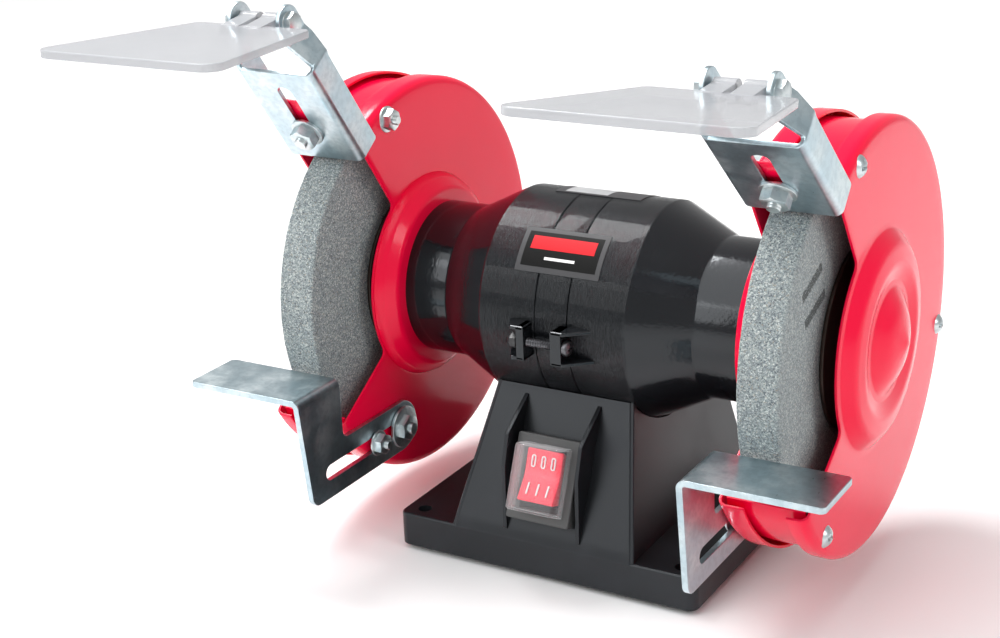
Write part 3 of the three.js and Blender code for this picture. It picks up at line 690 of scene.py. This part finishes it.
def guardSheet(hubProfile, outwards, lip):
    # Pressed disc in polar form, radius against angle. Inside the hub circle it goes right round. Outside it,
    # it goes from the low to the high angle, widened at the hub circle by the arc of a fillet,
    # and its rim is turned through a quarter bend into a lip.
    g = guard
    x0 = g["outer"] if outwards > 0 else g["inner"]
    spread = 1 - np.cos(np.linspace(0, math.pi / 2, 7))
    flat = np.concatenate([g["hub"] + g["fillet"] * spread, [50, 55, 60, 68, 76, g["radius"] - g["bend"]]])
    turn = np.linspace(0, math.pi / 2, 7)[1:]
    bendR = g["radius"] - g["bend"] + g["bend"] * np.sin(turn)
    bendX = g["bend"] * (1 - np.cos(turn))
    radii = np.concatenate([flat, bendR, np.full(3, g["radius"])])
    depth = np.concatenate([0 * flat, bendX, g["bend"] + (lip - g["bend"]) * np.array([0.3, 0.7, 1.0])])
    gone = np.clip(g["fillet"] - (radii - g["hub"]), 0, None)
    widen = g["fillet"] - np.sqrt(np.clip(g["fillet"] ** 2 - gone ** 2, 0, None))
    low = math.radians(g["low"]) - widen / radii
    high = math.radians(g["high"]) + widen / radii
    share = np.linspace(0, 1, 121)
    angles = low[:, None] + (high - low)[:, None] * share
    x = x0 - outwards * depth
    sector = np.stack([x[:, None] + 0 * angles, radii[:, None] * np.cos(angles),
                       radii[:, None] * np.sin(angles)], -1)
    mouth = np.linspace(high[0], low[0] + 2 * math.pi, 42)[1:-1]
    around = np.concatenate([angles[0], mouth])
    hubX, hubR = np.array(hubProfile, float).T
    hub = np.stack([hubX[:, None] + 0 * around, hubR[:, None] * np.cos(around),
                    hubR[:, None] * np.sin(around)], -1)
    skin = together(grid(hub, closeColumns=True), grid(sector))
    return worked(skin, ("SOLIDIFY", {"thickness": g["sheet"], "offset": outwards}),
                  edgesRounded(0.28, 50, 2),
                  outward=False)


def innerPlate():
    # the ring round the motor's neck is pressed towards the motor
    profile = rounded([(75.3, 14), (75.3, 37.4), (79.0, 41.2), (83.0, 43.2), (83.0, guard["hub"])],
                      [0, 2.6, 3.0, 0.8, 0], 8, closed=False)
    return guardSheet(profile, -1, guard["innerLip"])


def coverPlate():
    # raised ring, shallow groove and blunt cone
    profile = rounded([(127.2, 0), (126.9, 1.4), (124.4, 11.5), (119.7, 20.6), (119.5, 23.4), (121.2, 29.5),
                       (120.2, 36.5), (115.9, 41.8), (guard["outer"], guard["hub"])],
                      [0, 0.6, 30, 4, 2.5, 7, 7, 3, 0], 8, closed=False)
    return guardSheet(profile, 1, guard["coverLip"])


def stripWall():
    # rolled band under both lips: two skins from the low to the high angle, its front end curled in a little
    low, high = math.radians(guard["low"]) + 0.01, math.radians(126)
    a = np.linspace(low, high, 150)
    curl = 1.6 * np.clip(1 - (a - low) / 0.10, 0, 1) ** 2
    x0, x1 = guard["inner"] + 1.3, guard["outer"] - 1.3
    ring = []
    for x, r in ((x0, 81.4), (x1, 81.4), (x1, 80.5), (x0, 80.5)):
        ring.append(np.stack([x + 0 * a, (r - curl) * np.cos(a), (r - curl) * np.sin(a)], -1))
    return grid(np.stack(ring).transpose(1, 0, 2), closeColumns=True, caps=True)


guardScrew = {"circle": 78, "angles": {"upper": 110, "rear": -14, "lower": -131}}


def panHead(seat):
    # domed head with a cross recess: inside the cross the dome is pushed in, with sloping walls
    r = np.linspace(0, 1, 22)
    a = np.linspace(0, 2 * math.pi, 72, endpoint=False)
    u, v = r[:, None] * np.cos(a), r[:, None] * np.sin(a)
    rise = 2.6 * (1 - r[:, None] ** 2.6) + 0.45 + 0 * a
    arm = np.minimum(np.abs(u), np.abs(v))
    reach = np.hypot(u, v)
    recess = np.clip((0.17 - arm) / 0.07, 0, 1) * np.clip((0.62 - reach) / 0.12, 0, 1)
    top = np.stack([seat + rise - 1.5 * recess, 4.4 * u, 4.4 * v], -1)[::-1]
    under = np.stack([np.full_like(a, seat), 4.3 * np.cos(a), 4.3 * np.sin(a)], -1)[None]
    middle = np.stack([np.full_like(a, seat), 0 * a, 0 * a], -1)[None]
    return grid(np.concatenate([middle, under, top]), closeColumns=True)


def washer(radius, low, high, dish=0.0):
    return turned(rounded([(low, 0), (low + dish, radius), (high + dish, radius), (high, 0)],
                          [0, 0.25, 0.25, 0], 3, closed=False), 40)


def guardScrewParts(seat):
    head = panHead(guard["outer"] + 0.15)
    nut = together(washer(5.4, seat - 1.0, seat - 0.1), handed(hexagon(7.8, 1.0 - seat, 4.4 - seat), -1),
                   handed(thread(2.0, -guard["outer"], 6.2 - seat), -1))
    return together(head, nut)


restBolt = {"y": -32, "z": -58.9}
rest = {"x": 80.2, "sheet": 2.5, "ledgeEnd": 134, "top": -22, "front": -101.9, "rear": -74, "arm": -58.9,
        "armRadius": 11, "inner": 1.0}


def toolRest():
    # Flat blank, X to the back and Y up, its slot cut and then folded once: above the fold it is the ledge.
    r = rest
    fold = r["top"] - r["inner"] - r["sheet"]
    end = fold + math.pi / 2 * (r["inner"] + r["sheet"] / 2) + r["ledgeEnd"] - r["x"] - r["inner"] - r["sheet"]
    high, low = r["arm"] + r["armRadius"], r["arm"] - r["armRadius"]
    bolt = restBolt["y"] + r["armRadius"]
    blank = rounded([(r["front"], end), (r["front"], fold), (r["front"] + 5.4, low), (bolt, low),
                     (bolt, high),
                     (r["rear"], high), (r["rear"], end)], [2.4, 0, 5.0, 10.98, 10.98, 3.5, 2.4], 10)
    slot = rounded([(-87, r["arm"] - 3.2), (-27, r["arm"] - 3.2), (-27, r["arm"] + 3.2),
                    (-87, r["arm"] + 3.2)], 3.19, 8)
    sheet = plate([blank, slot], 0, r["sheet"], 0.35)
    sheet = folded(sheet, 1, fold, math.pi / 2, r["inner"], r["sheet"])
    return shifted(standing(sheet), r["x"])


def flangedBolt(flangeAt, headFrom):
    # bolt with a wide round flange under its hexagon, seen from the motor side
    head = together(washer(9.0, -flangeAt, 1.4 - flangeAt, 0.0),
                    hexagon(10, 1.3 - flangeAt, headFrom - flangeAt),
                    washer(2.6, headFrom - flangeAt - 0.2, headFrom + 1.6 - flangeAt))
    return handed(head, -1)


# ---- Spark guard brackets. In a bracket's own frame X is across, Y up the plate, Z out of its open side. ----
bracket = {"x": 99.3, "halfWidth": 18.4, "sheet": 1.8, "inner": 1.2, "length": 49.5, "cheek": 13,
           "foot": (-46.9, 60.5), "along": 68.0, "behind": 9.5, "crank": 11.5, "tabHalf": 11.8, "eye": 6.5,
           "lean": {"left": 126.0, "right": 138.5}, "bolt": 16.5}
shieldPitch = {"left": -1.6, "right": -6.4}


def leaned(part, side):
    # from the bracket's frame to the machine's, on the right-hand side: the plate leans by the side's angle
    t = math.radians(bracket["lean"][side])
    c, s = math.cos(t), math.sin(t)
    fy, fz = bracket["foot"]
    return changed(part, lambda x, y, z: (bracket["x"] + x, fy + c * y + s * z, fz + s * y - c * z))


def sparkBracket():
    # Flat blank with a slot, two cheeks and two arms. The arms are cranked inwards by two equal and opposite
    # folds, and then the cheeks are folded up.
    b = bracket
    t, inner = b["sheet"], b["inner"]
    fold = b["halfWidth"] - inner - t
    bendLength = math.pi / 2 * (inner + t / 2)
    crank = math.atan2(b["halfWidth"] - b["tabHalf"], b["crank"])
    run = math.hypot(b["halfWidth"] - b["tabHalf"], b["crank"])
    at = {height: fold + bendLength + height - inner - t for height in (3.6, b["behind"], b["cheek"], 16)}
    tip = run + b["along"] - b["crank"] + b["eye"]
    right = [(fold, b["length"]), (at[3.6], b["length"] + 1.5), (at[3.6], tip), (at[16], tip),
             (at[16], b["length"] + 9), (at[b["cheek"]], b["length"] - 2), (at[b["cheek"]], 0)]
    radii = [0.6, 0.8, 6.1, 6.1, 4, 4, 1.2]
    blank = rounded(right + [(-x, y) for x, y in right[::-1]], radii + radii[::-1], 8)
    slot = rounded([(-3.2, 9.3), (3.2, 9.3), (3.2, 41.5), (-3.2, 41.5)], 3.19, 8)
    sheet = plate([blank, slot], 0, t, 0.3)
    sheet = folded(sheet, 1, b["length"] + run - 1.0, crank, inner, t, side=-1)
    sheet = folded(sheet, 1, b["length"], crank, inner, t, side=1)
    sheet = folded(sheet, 0, fold, math.pi / 2, inner, t)
    return folded(sheet, 0, fold, math.pi / 2, inner, t, hand=-1)


def bracketBolt():
    # along the plate's normal: flange washer and hexagon in front, stub of the bolt, nut behind the tab
    front = together(washer(6.8, 0.15, 1.6, -0.2), hexagon(9.6, 1.5, 6.0), thread(2.6, 5.5, 7.6, 0.8, 0.25),
                     thread(2.6, -8.4, 0.5))
    nut = handed(hexagon(9, 3.6, 7.4, True), -1)
    bolt = together(front, nut)
    return changed(bolt, lambda x, y, z: (y, z + bracket["bolt"], -x))


shield = {"sheet": 3.0, "rearHalf": 26, "frontHalf": 41, "rear": 9.5, "front": 83, "top": 0.0, "inboard": 3,
          "knuckle": 3.5, "from": 1.2, "to": 9.4}


def eyeShield():
    # clear plate and two knuckles about the pivot; each knuckle has a web down to the plate
    s = shield
    outline = [(s["rearHalf"], -s["rear"]), (s["frontHalf"], -s["front"]), (-s["frontHalf"], -s["front"]),
               (-s["rearHalf"], -s["rear"])]
    sheet = plate([rounded(outline, [3.5, 6.5, 6.5, 3.5], 8)], s["top"] - s["sheet"], s["top"], 0.5, 3)
    ear = rounded([(-s["knuckle"], -s["knuckle"]), (s["knuckle"], -s["knuckle"]),
                   (s["knuckle"], s["knuckle"]),
                   (-s["knuckle"], s["knuckle"])], s["knuckle"] - 0.01, 8)
    web = rounded([(-s["rear"] - 6, s["top"] - s["sheet"] + 0.1), (-1, s["top"] - s["sheet"] + 0.1),
                   (-1, 2.4),
                   (-s["rear"] - 4, s["top"] + 0.2)], [0.5, 0.5, 1, 0.4], 4)
    knuckles = []
    for sign in (-1, 1):
        for outline in (ear, web):
            knuckles.append(handed(standing(plate([outline], s["from"], s["to"], 0.4)), sign))
    return together(shifted(sheet, -s["inboard"]), *knuckles)


def shieldBolt():
    # domed hexagon outside the arm and the stub inside it
    tab = bracket["tabHalf"]
    return together(hexagon(7.4, tab + 0.2, tab + 3.4), washer(4.4, tab + 0.05, tab + 0.6),
                    thread(2.0, tab - 2.6, tab + 1.0))


def aboutHinge(part, side):
    hinge = leaned((np.array([[0.0, bracket["along"], bracket["behind"]]]), []), side)[0][0]
    return part[0] + hinge, part[1]


for side, sign in sides.items():
    red, zinc, bright = finishes["red"], finishes["zinc"], finishes["zincBright"]
    piece(f"guard_inner_{side}_plate", handed(innerPlate(), sign), red, "frame", [f"guard_inner_{side}"],
          40)
    piece(f"guard_cover_{side}_plate", handed(coverPlate(), sign), red, "frame", [f"guard_cover_{side}"],
          40)
    tab = worked(leaned(plate([rounded([(-10, 2.5), (10, 2.5), (10, 31), (-10, 31)], 2)], 2.1, 3.3), side))
    piece(f"guard_strip_{side}_band", handed(together(stripWall(), tab), sign), red, "frame",
          [f"guard_strip_{side}"], 40)
    for place, angle in guardScrew["angles"].items():
        seat = (rest["x"] if place == "lower" else guard["inner"]) - 0.3
        spot = {"y": guardScrew["circle"] * math.cos(math.radians(angle)),
                "z": guardScrew["circle"] * math.sin(math.radians(angle))}
        screw = shifted(guardScrewParts(seat), **spot)
        piece(f"guard_screw_{place}_{side}_set", handed(screw, sign), bright, "frame",
              [f"guard_screw_{place}_{side}"])
    piece(f"tool_rest_{side}_plate", handed(toolRest(), sign), zinc, f"rest_{side}", [f"tool_rest_{side}"],
          weighted=True)
    bolt = shifted(flangedBolt(rest["x"] - 0.2, 4.4), 0, restBolt["y"], restBolt["z"])
    piece(f"rest_bolt_{side}_head", handed(bolt, sign), bright, "frame", [f"rest_bolt_{side}"])
    piece(f"spark_bracket_{side}_plate", handed(leaned(sparkBracket(), side), sign), zinc, f"bracket_{side}",
          [f"spark_bracket_{side}"], weighted=True)
    piece(f"bracket_bolt_{side}_set", handed(leaned(bracketBolt(), side), sign), bright, "frame",
          [f"bracket_bolt_{side}"])
    tilted = aboutX(eyeShield(), math.radians(shieldPitch[side]))
    piece(f"eye_shield_{side}_sheet", handed(aboutHinge(tilted, side), sign), finishes["clear"],
          f"shield_{side}",
          [f"eye_shield_{side}"], weighted=True)
    for place, hand in (("outer", 1), ("inner", -1)):
        pin = aboutHinge(handed(shieldBolt(), hand), side)
        piece(f"shield_bolt_{place}_{side}_set", handed(pin, sign), bright, f"bracket_{side}",
              [f"shield_bolt_{place}_{side}"])
print("guards, rests, brackets and shields made")


# ---- Base. Its own heights are counted from the bench, so they are moved down by the shaft's height. ----
base = {"halfX": 67.25, "halfY": 57, "foot": 2, "top": 16.7, "corner": 4, "wall": 3,
        "pedestalFoot": (40.3, 57), "pedestalTop": (28.9, 31.4), "topBack": 45, "pedestalHigh": 78,
        "hole": (58.7, 50, 2.9)}
shaftHeight = shaftMiddle[2]
saddleRadius = motor["radius"] + 0.3


def rectangleRing(halfX, halfY, corner, height, steps=6):
    outline = rounded([(halfX, -halfY), (halfX, halfY), (-halfX, halfY), (-halfX, -halfY)], corner, steps)
    return np.column_stack([outline, np.full(len(outline), height)])


def plinth():
    # rings of one outline: from the rim under it up the outside, over the edge and across, then the hollow
    b = base
    hx, hy, r = b["halfX"], b["halfY"], b["corner"]
    rings = [rectangleRing(hx - b["wall"], hy - b["wall"], 1.5, b["foot"]),
             rectangleRing(hx - 0.5, hy - 0.5, r - 0.5, b["foot"]), rectangleRing(hx, hy, r, b["foot"] + 0.5)]
    for turn in np.linspace(0, math.pi / 2, 6):
        inset = 1.1 * (1 - math.cos(turn))
        rings.append(rectangleRing(hx - inset, hy - inset, r - inset, b["top"] - 1.1 + 1.1 * math.sin(turn)))
    rings.append(rectangleRing(20, 20, 2, b["top"]))
    hollow = [rectangleRing(20, 20, 2, b["top"] - b["wall"]),
              rectangleRing(hx - b["wall"], hy - b["wall"], 1.5, b["top"] - b["wall"])]
    shell = grid(np.stack(rings), closeColumns=True)
    inside = grid(np.stack(hollow + rings[:1]), closeColumns=True)
    roof = grid(np.stack([rings[-1], hollow[0]]), closeColumns=True)
    return together(shell, inside, roof)


def pedestal():
    # rings from inside the plinth up to the barrel, and back down inside the wall
    b = base
    (fx, fy), (tx, ty) = b["pedestalFoot"], b["pedestalTop"]
    middle = (b["topBack"] - ty) / 2

    def ring(part, inset=0.0, drop=0.0):
        # outline at a share of the height; towards the top its middle moves back, as the back is the steeper
        outline = rectangleRing(fx + (tx - fx) * part - inset, fy + (ty + middle - fy) * part - inset, 1.2,
                                b["top"] + (b["pedestalHigh"] - b["top"]) * part - drop)
        return outline + np.array([0, middle * part, 0])

    rings = [ring(0, 0.15, 2)] + [ring(part) for part in np.linspace(0, 0.992, 14)]
    rings += [ring(0.998, 0.25), ring(1.0, 0.7), ring(1.0, 4)]
    inner = [ring(0.93, 3), ring(0, 3), ring(0, 3, 2)]
    outside = grid(np.stack(rings), closeColumns=True)
    inside = grid(np.stack(inner), closeColumns=True)
    crown = grid(np.stack([rings[-1], inner[0]]), closeColumns=True)
    rim = grid(np.stack([inner[-1], rings[0]]), closeColumns=True)
    shell = together(outside, crown, inside, rim)
    # the saddle is the motor's round, with the gap that the motor needs
    saddle = turned([(-60, 0), (-60, saddleRadius), (60, saddleRadius), (60, 0)], 192)
    return cutBy(shell, shifted(saddle, 0, 0, shaftHeight))


faceRun = base["pedestalFoot"][1] - base["pedestalTop"][1]
faceRise = base["pedestalHigh"] - base["top"]
faceSlope = math.atan2(faceRise, faceRun)


def onFace(part):
    # from the front face's own frame (X across, Y up the slope, Z out of it) to the base's
    c, s = math.cos(faceSlope), math.sin(faceSlope)
    return changed(part, lambda x, y,
                   z: (x, c * y - s * z - base["pedestalFoot"][1], s * y + c * z + base["top"]))


def switchRib(x):
    outline = rounded([(3, -1.5), (58, -1.5), (58, 0.3), (41.5, 11.8), (28, 10.5), (3, 0.6)],
                      [0, 0, 0.5, 2, 3, 0.5], 4)
    rib = plate([outline], x - 0.9, x + 0.9, 0.3)
    return onFace(standing(rib))


def sideRib(sign):
    # lip down the front edge of each side wall: a narrow bar on the slanting face, proud of it by a little
    b = base
    (fx, fy), (tx, ty) = b["pedestalFoot"], b["pedestalTop"]
    rows = []
    for part, height in ((0, b["top"]), (0.93, b["top"] + 0.93 * (b["pedestalHigh"] - b["top"]))):
        x, y = fx + (tx - fx) * part, fy + (ty - fy) * part
        rows.append([(x - 0.5, -y + 0.25, height), (x + 0.45, -y + 0.35, height),
                     (x + 0.75, -y + 0.7, height),
                     (x + 0.75, -y + 2.9, height), (x + 0.4, -y + 3.3, height), (x - 0.5, -y + 3.4, height)])
    return handed(grid(np.array(rows, float), closeColumns=True, caps=True), sign)


def grounded(part):
    return shifted(part, 0, 0, -shaftHeight)


def block(x, y, z):
    points = np.array([[(x[i], y[j], z[k]) for i, j in ((0, 0), (1, 0), (1, 1), (0, 1))] for k in (0, 1)],
                      float)
    return grid(points, closeColumns=True, caps=True)


def upright(part):
    # a part turned about X stands up along Z
    return changed(part, lambda x, y, z: (y, z, x))


switch = {"y": 25.8, "holeX": 10.4, "holeY": 14.4}
holeX, holeY, holeRadius = base["hole"]
holes = [shifted(upright(turned([(-20, 0), (-20, holeRadius), (20, holeRadius), (20, 0)], 32)), a * holeX,
                 b * holeY, 17)
         for a in (-1, 1) for b in (-1, 1)]
deck = cutBy(plinth(), *holes)
window = onFace(block((-switch["holeX"], switch["holeX"]),
                      (switch["y"] - switch["holeY"], switch["y"] + switch["holeY"]), (-8, 8)))
tower = cutBy(pedestal(), window)
casting = together(deck, tower, switchRib(-16.4), switchRib(16.4), sideRib(1), sideRib(-1))
piece("base_casting", grounded(casting), finishes["satin"], "frame", ["base_shell"], 35,
      weighted=True)

gland = {"x": -32, "z": 9.4}
boot = rounded([(-5, 3.6), (-5, 4.9), (0.3, 4.9), (0.3, 8), (2.6, 8), (3.4, 6.6), (11, 5.6), (11, 3.6)],
               [0, 0.2, 0, 0.5, 0.8, 1.0, 0.6, 0.4], 4)
glandShape = changed(turned(boot, 48, ring=True), lambda x, y,
                     z: (-y + gland["x"], x + base["halfY"], z + gland["z"]))
piece("cable_gland_boot", grounded(glandShape), finishes["rubber"], "frame", ["cable_gland"])
for end, b in (("front", -1), ("rear", 1)):
    for side, a in sides.items():
        profile = rounded([(0, 0), (0, 9), (2, 9), (2, 6), (5.4, 6), (5.4, 0)], [0, 0.6, 0.2, 0.2, 0.4, 0], 4,
                          closed=False)
        foot = shifted(upright(turned(profile, 48)), a * 55, b * 38)
        piece(f"foot_{end}_{side}_rubber", grounded(foot), finishes["rubber"], "frame",
              [f"foot_{end}_{side}"])

# Switch: frame with a pocket, rocker on its pivot and a clear boot over it
bezel = {"halfX": 14, "halfY": 17.3, "front": 6.5, "pocketX": 8.4, "pocketY": 12.4}
rocker = {"halfX": 8, "half": 10.8, "top": 9.6, "tilt": 8}


def facing(part):
    return grounded(onFace(shifted(part, 0, switch["y"])))


def rectangle(halfX, halfY, corner):
    return rounded([(halfX, -halfY), (halfX, halfY), (-halfX, halfY), (-halfX, -halfY)], corner, 5)


bezelFrame = together(
    plate([rectangle(bezel["halfX"], bezel["halfY"], 1.0),
           rectangle(bezel["pocketX"], bezel["pocketY"], 0.6)],
          0.3, bezel["front"], 0.5, 3),
    plate([rectangle(10.1, 14.1, 0.5), rectangle(bezel["pocketX"], bezel["pocketY"], 0.6)], -16, 2, 0.1))
piece("switch_frame_moulding", facing(bezelFrame), finishes["bezel"], "frame", ["switch_frame"],
      weighted=True)


def bootShell():
    # rings of rounded rectangles: up the tapering wall, over the edge, across, and the same inside the skin
    rings = []
    for halfX, halfY, corner, height in ((10.9, 13.9, 1.0, 6.8), (10.6, 13.6, 1.1, 10.5),
                                         (10.3, 13.3, 1.2, 14.2),
                                         (10.1, 13.1, 1.2, 14.9), (9.7, 12.7, 1.1, 15.35), (4, 5, 1, 15.45)):
        rings.append(rectangleRing(halfX, halfY, corner, height))
    for halfX, halfY, corner, height in ((4, 5, 1, 14.6), (9.2, 12.2, 0.8, 14.5), (9.5, 12.5, 0.8, 14.0),
                                         (9.8, 12.8, 0.7, 10.5), (10.1, 13.1, 0.6, 6.8)):
        rings.append(rectangleRing(halfX, halfY, corner, height))
    outer = grid(np.stack(rings[:6]), closeColumns=True)
    inner = grid(np.stack(rings[6:]), closeColumns=True)
    rim = grid(np.stack([rings[-1], rings[0]]), closeColumns=True)
    top = grid(rings[5][None], caps=True)
    under = grid(rings[6][None], caps=True)
    return together(outer, inner, rim, (top[0], top[1][:1]), (under[0], under[1][:1]))


piece("switch_cover_boot", facing(bootShell()), finishes["boot"], "frame", ["switch_cover"], 50)

top = rocker["top"]
rockerOutline = rounded([(-rocker["half"], top), (-8.5, -2.5), (8.5, -2.5), (rocker["half"], top),
                         (0, top - 2.0)],
                        [0.7, 0.8, 0.8, 0.7, 14], 6)
rockerBody = standing(plate([rockerOutline], -rocker["halfX"], rocker["halfX"], 0.5, 3))


def onRocker(part):
    return facing(aboutX(part, math.radians(-rocker["tilt"])))


piece("switch_rocker_key", onRocker(rockerBody), finishes["rocker"], "rocker", ["switch_rocker"],
      weighted=True)


def rockerMark(outlines, x, y, slope):
    # raised mark on one half of the rocker, standing 0.25 mm proud of its dished face
    mark = shifted(plate(outlines, -0.4, 0.25, 0.1, 1), x, y)
    c, s = math.cos(slope), math.sin(slope)
    return changed(mark, lambda u, v, w: (u, v, w + top - 2.0 + np.abs(v) * math.tan(slope) + 0.55))


marks = []
for x in (-4.4, 0, 4.4):
    marks.append(rockerMark([rectangle(0.95, 2.5, 0.94), rectangle(0.5, 2.05, 0.49)], x, 5.6, 0.18))
    marks.append(rockerMark([rectangle(0.3, 2.4, 0.29)], x, -5.4, 0.18))
piece("switch_rocker_marks", onRocker(together(*marks)), finishes["mark"], "rocker")
print("base and switch made")

# The nodes that stay get their finish here.
kept = {"bottom_plate": "darkSteel", "run_capacitor": "can", "shaft": "steel", "rotor_core": "lamination"}
for side in sides:
    kept[f"winding_{side}"] = "copper"
    kept[f"bearing_{side}"] = "steel"
for node, finish in kept.items():
    item = frame["nodes"][node]
    item.data.materials.clear()
    item.data.materials.append(finishes[finish])


# ---- Studio ----
floorFinish = Finish("floor", Roughness=0.6)
floorTone = floorFinish.mix(floorFinish.noise(3, 2), (0.86, 0.86, 0.86), (0.88, 0.88, 0.88))
floorFinish.shade(Base_Color=floorTone)
floorMesh = bpy.data.meshes.new("floor")
floorMesh.from_pydata([(-6, -6, 0), (6, -6, 0), (6, 6, 0), (-6, 6, 0)], [], [(0, 1, 2, 3)])
floorMesh.materials.append(floorFinish.material)
floor = bpy.data.objects.new("floor", floorMesh)
bpy.context.scene.collection.objects.link(floor)
bpy.context.scene.view_settings.view_transform = "Standard"

studio = {"world": 0.50, "sun": {"strength": 2.0, "angle": 70, "from": (-0.35, -0.40, 1.0)},
          "boxes": {"top": {"at": (-0.61, 0.21, 1.17), "size": (0.5, 0.4), "power": 13},
                    "front": {"at": (-0.80, -1.30, 0.72), "size": (1.0, 0.75), "power": 6},
                    "side": {"at": (1.3, -0.3, 0.9), "size": (0.4, 0.7), "power": 5}}}
world = bpy.data.worlds.new("studio")
bpy.context.scene.world = world
world.use_nodes = True
world.node_tree.nodes["Background"].inputs["Color"].default_value = (1, 1, 1, 1)
world.node_tree.nodes["Background"].inputs["Strength"].default_value = studio["world"]
lookAt = Vector((0, 0, 0.1))
sun = bpy.data.lights.new("sun", "SUN")
sun.energy = studio["sun"]["strength"]
sun.angle = math.radians(studio["sun"]["angle"])
sunLamp = bpy.data.objects.new("sun", sun)
sunLamp.rotation_euler = Vector(studio["sun"]["from"]).to_track_quat("Z", "Y").to_euler()
bpy.context.scene.collection.objects.link(sunLamp)
for name, box in studio["boxes"].items():
    light = bpy.data.lights.new(name, "AREA")
    light.shape = "RECTANGLE"
    light.size, light.size_y = box["size"]
    light.energy = box["power"]
    lamp = bpy.data.objects.new(name, light)
    lamp.location = box["at"]
    lamp.rotation_euler = (lookAt - Vector(box["at"])).to_track_quat("-Z", "Y").to_euler()
    bpy.context.scene.collection.objects.link(lamp)

# Camera: it looks at a point in front of the shaft's middle and below it, and is rolled slightly.
eye = {"target": (-32.48, -26.92, -5.03), "azimuth": 31.133, "elevation": 19.676, "roll": -2.341,
       "distance": 707.64, "lens": 62.90}
azimuth, elevation = math.radians(eye["azimuth"]), math.radians(eye["elevation"])
back = Vector((math.sin(azimuth) * math.cos(elevation), -math.cos(azimuth) * math.cos(elevation),
               math.sin(elevation)))
right = Vector((math.cos(azimuth), math.sin(azimuth), 0))
up = back.cross(right)
roll = Matrix.Rotation(math.radians(eye["roll"]), 3, back)
axes = Matrix((roll @ right, roll @ up, back)).transposed()
cameraData = bpy.data.cameras.new("camera")
cameraData.lens = eye["lens"]
cameraData.sensor_width = 36
cameraData.clip_start = 0.01
camera = bpy.data.objects.new("camera", cameraData)
middle = Vector((shaftMiddle + np.array(eye["target"])) * millimetre)
camera.matrix_world = Matrix.Translation(middle + back * eye["distance"] * millimetre) @ axes.to_4x4()
bpy.context.scene.collection.objects.link(camera)
bpy.context.scene.camera = camera
print("studio made;", len(made), "pieces")
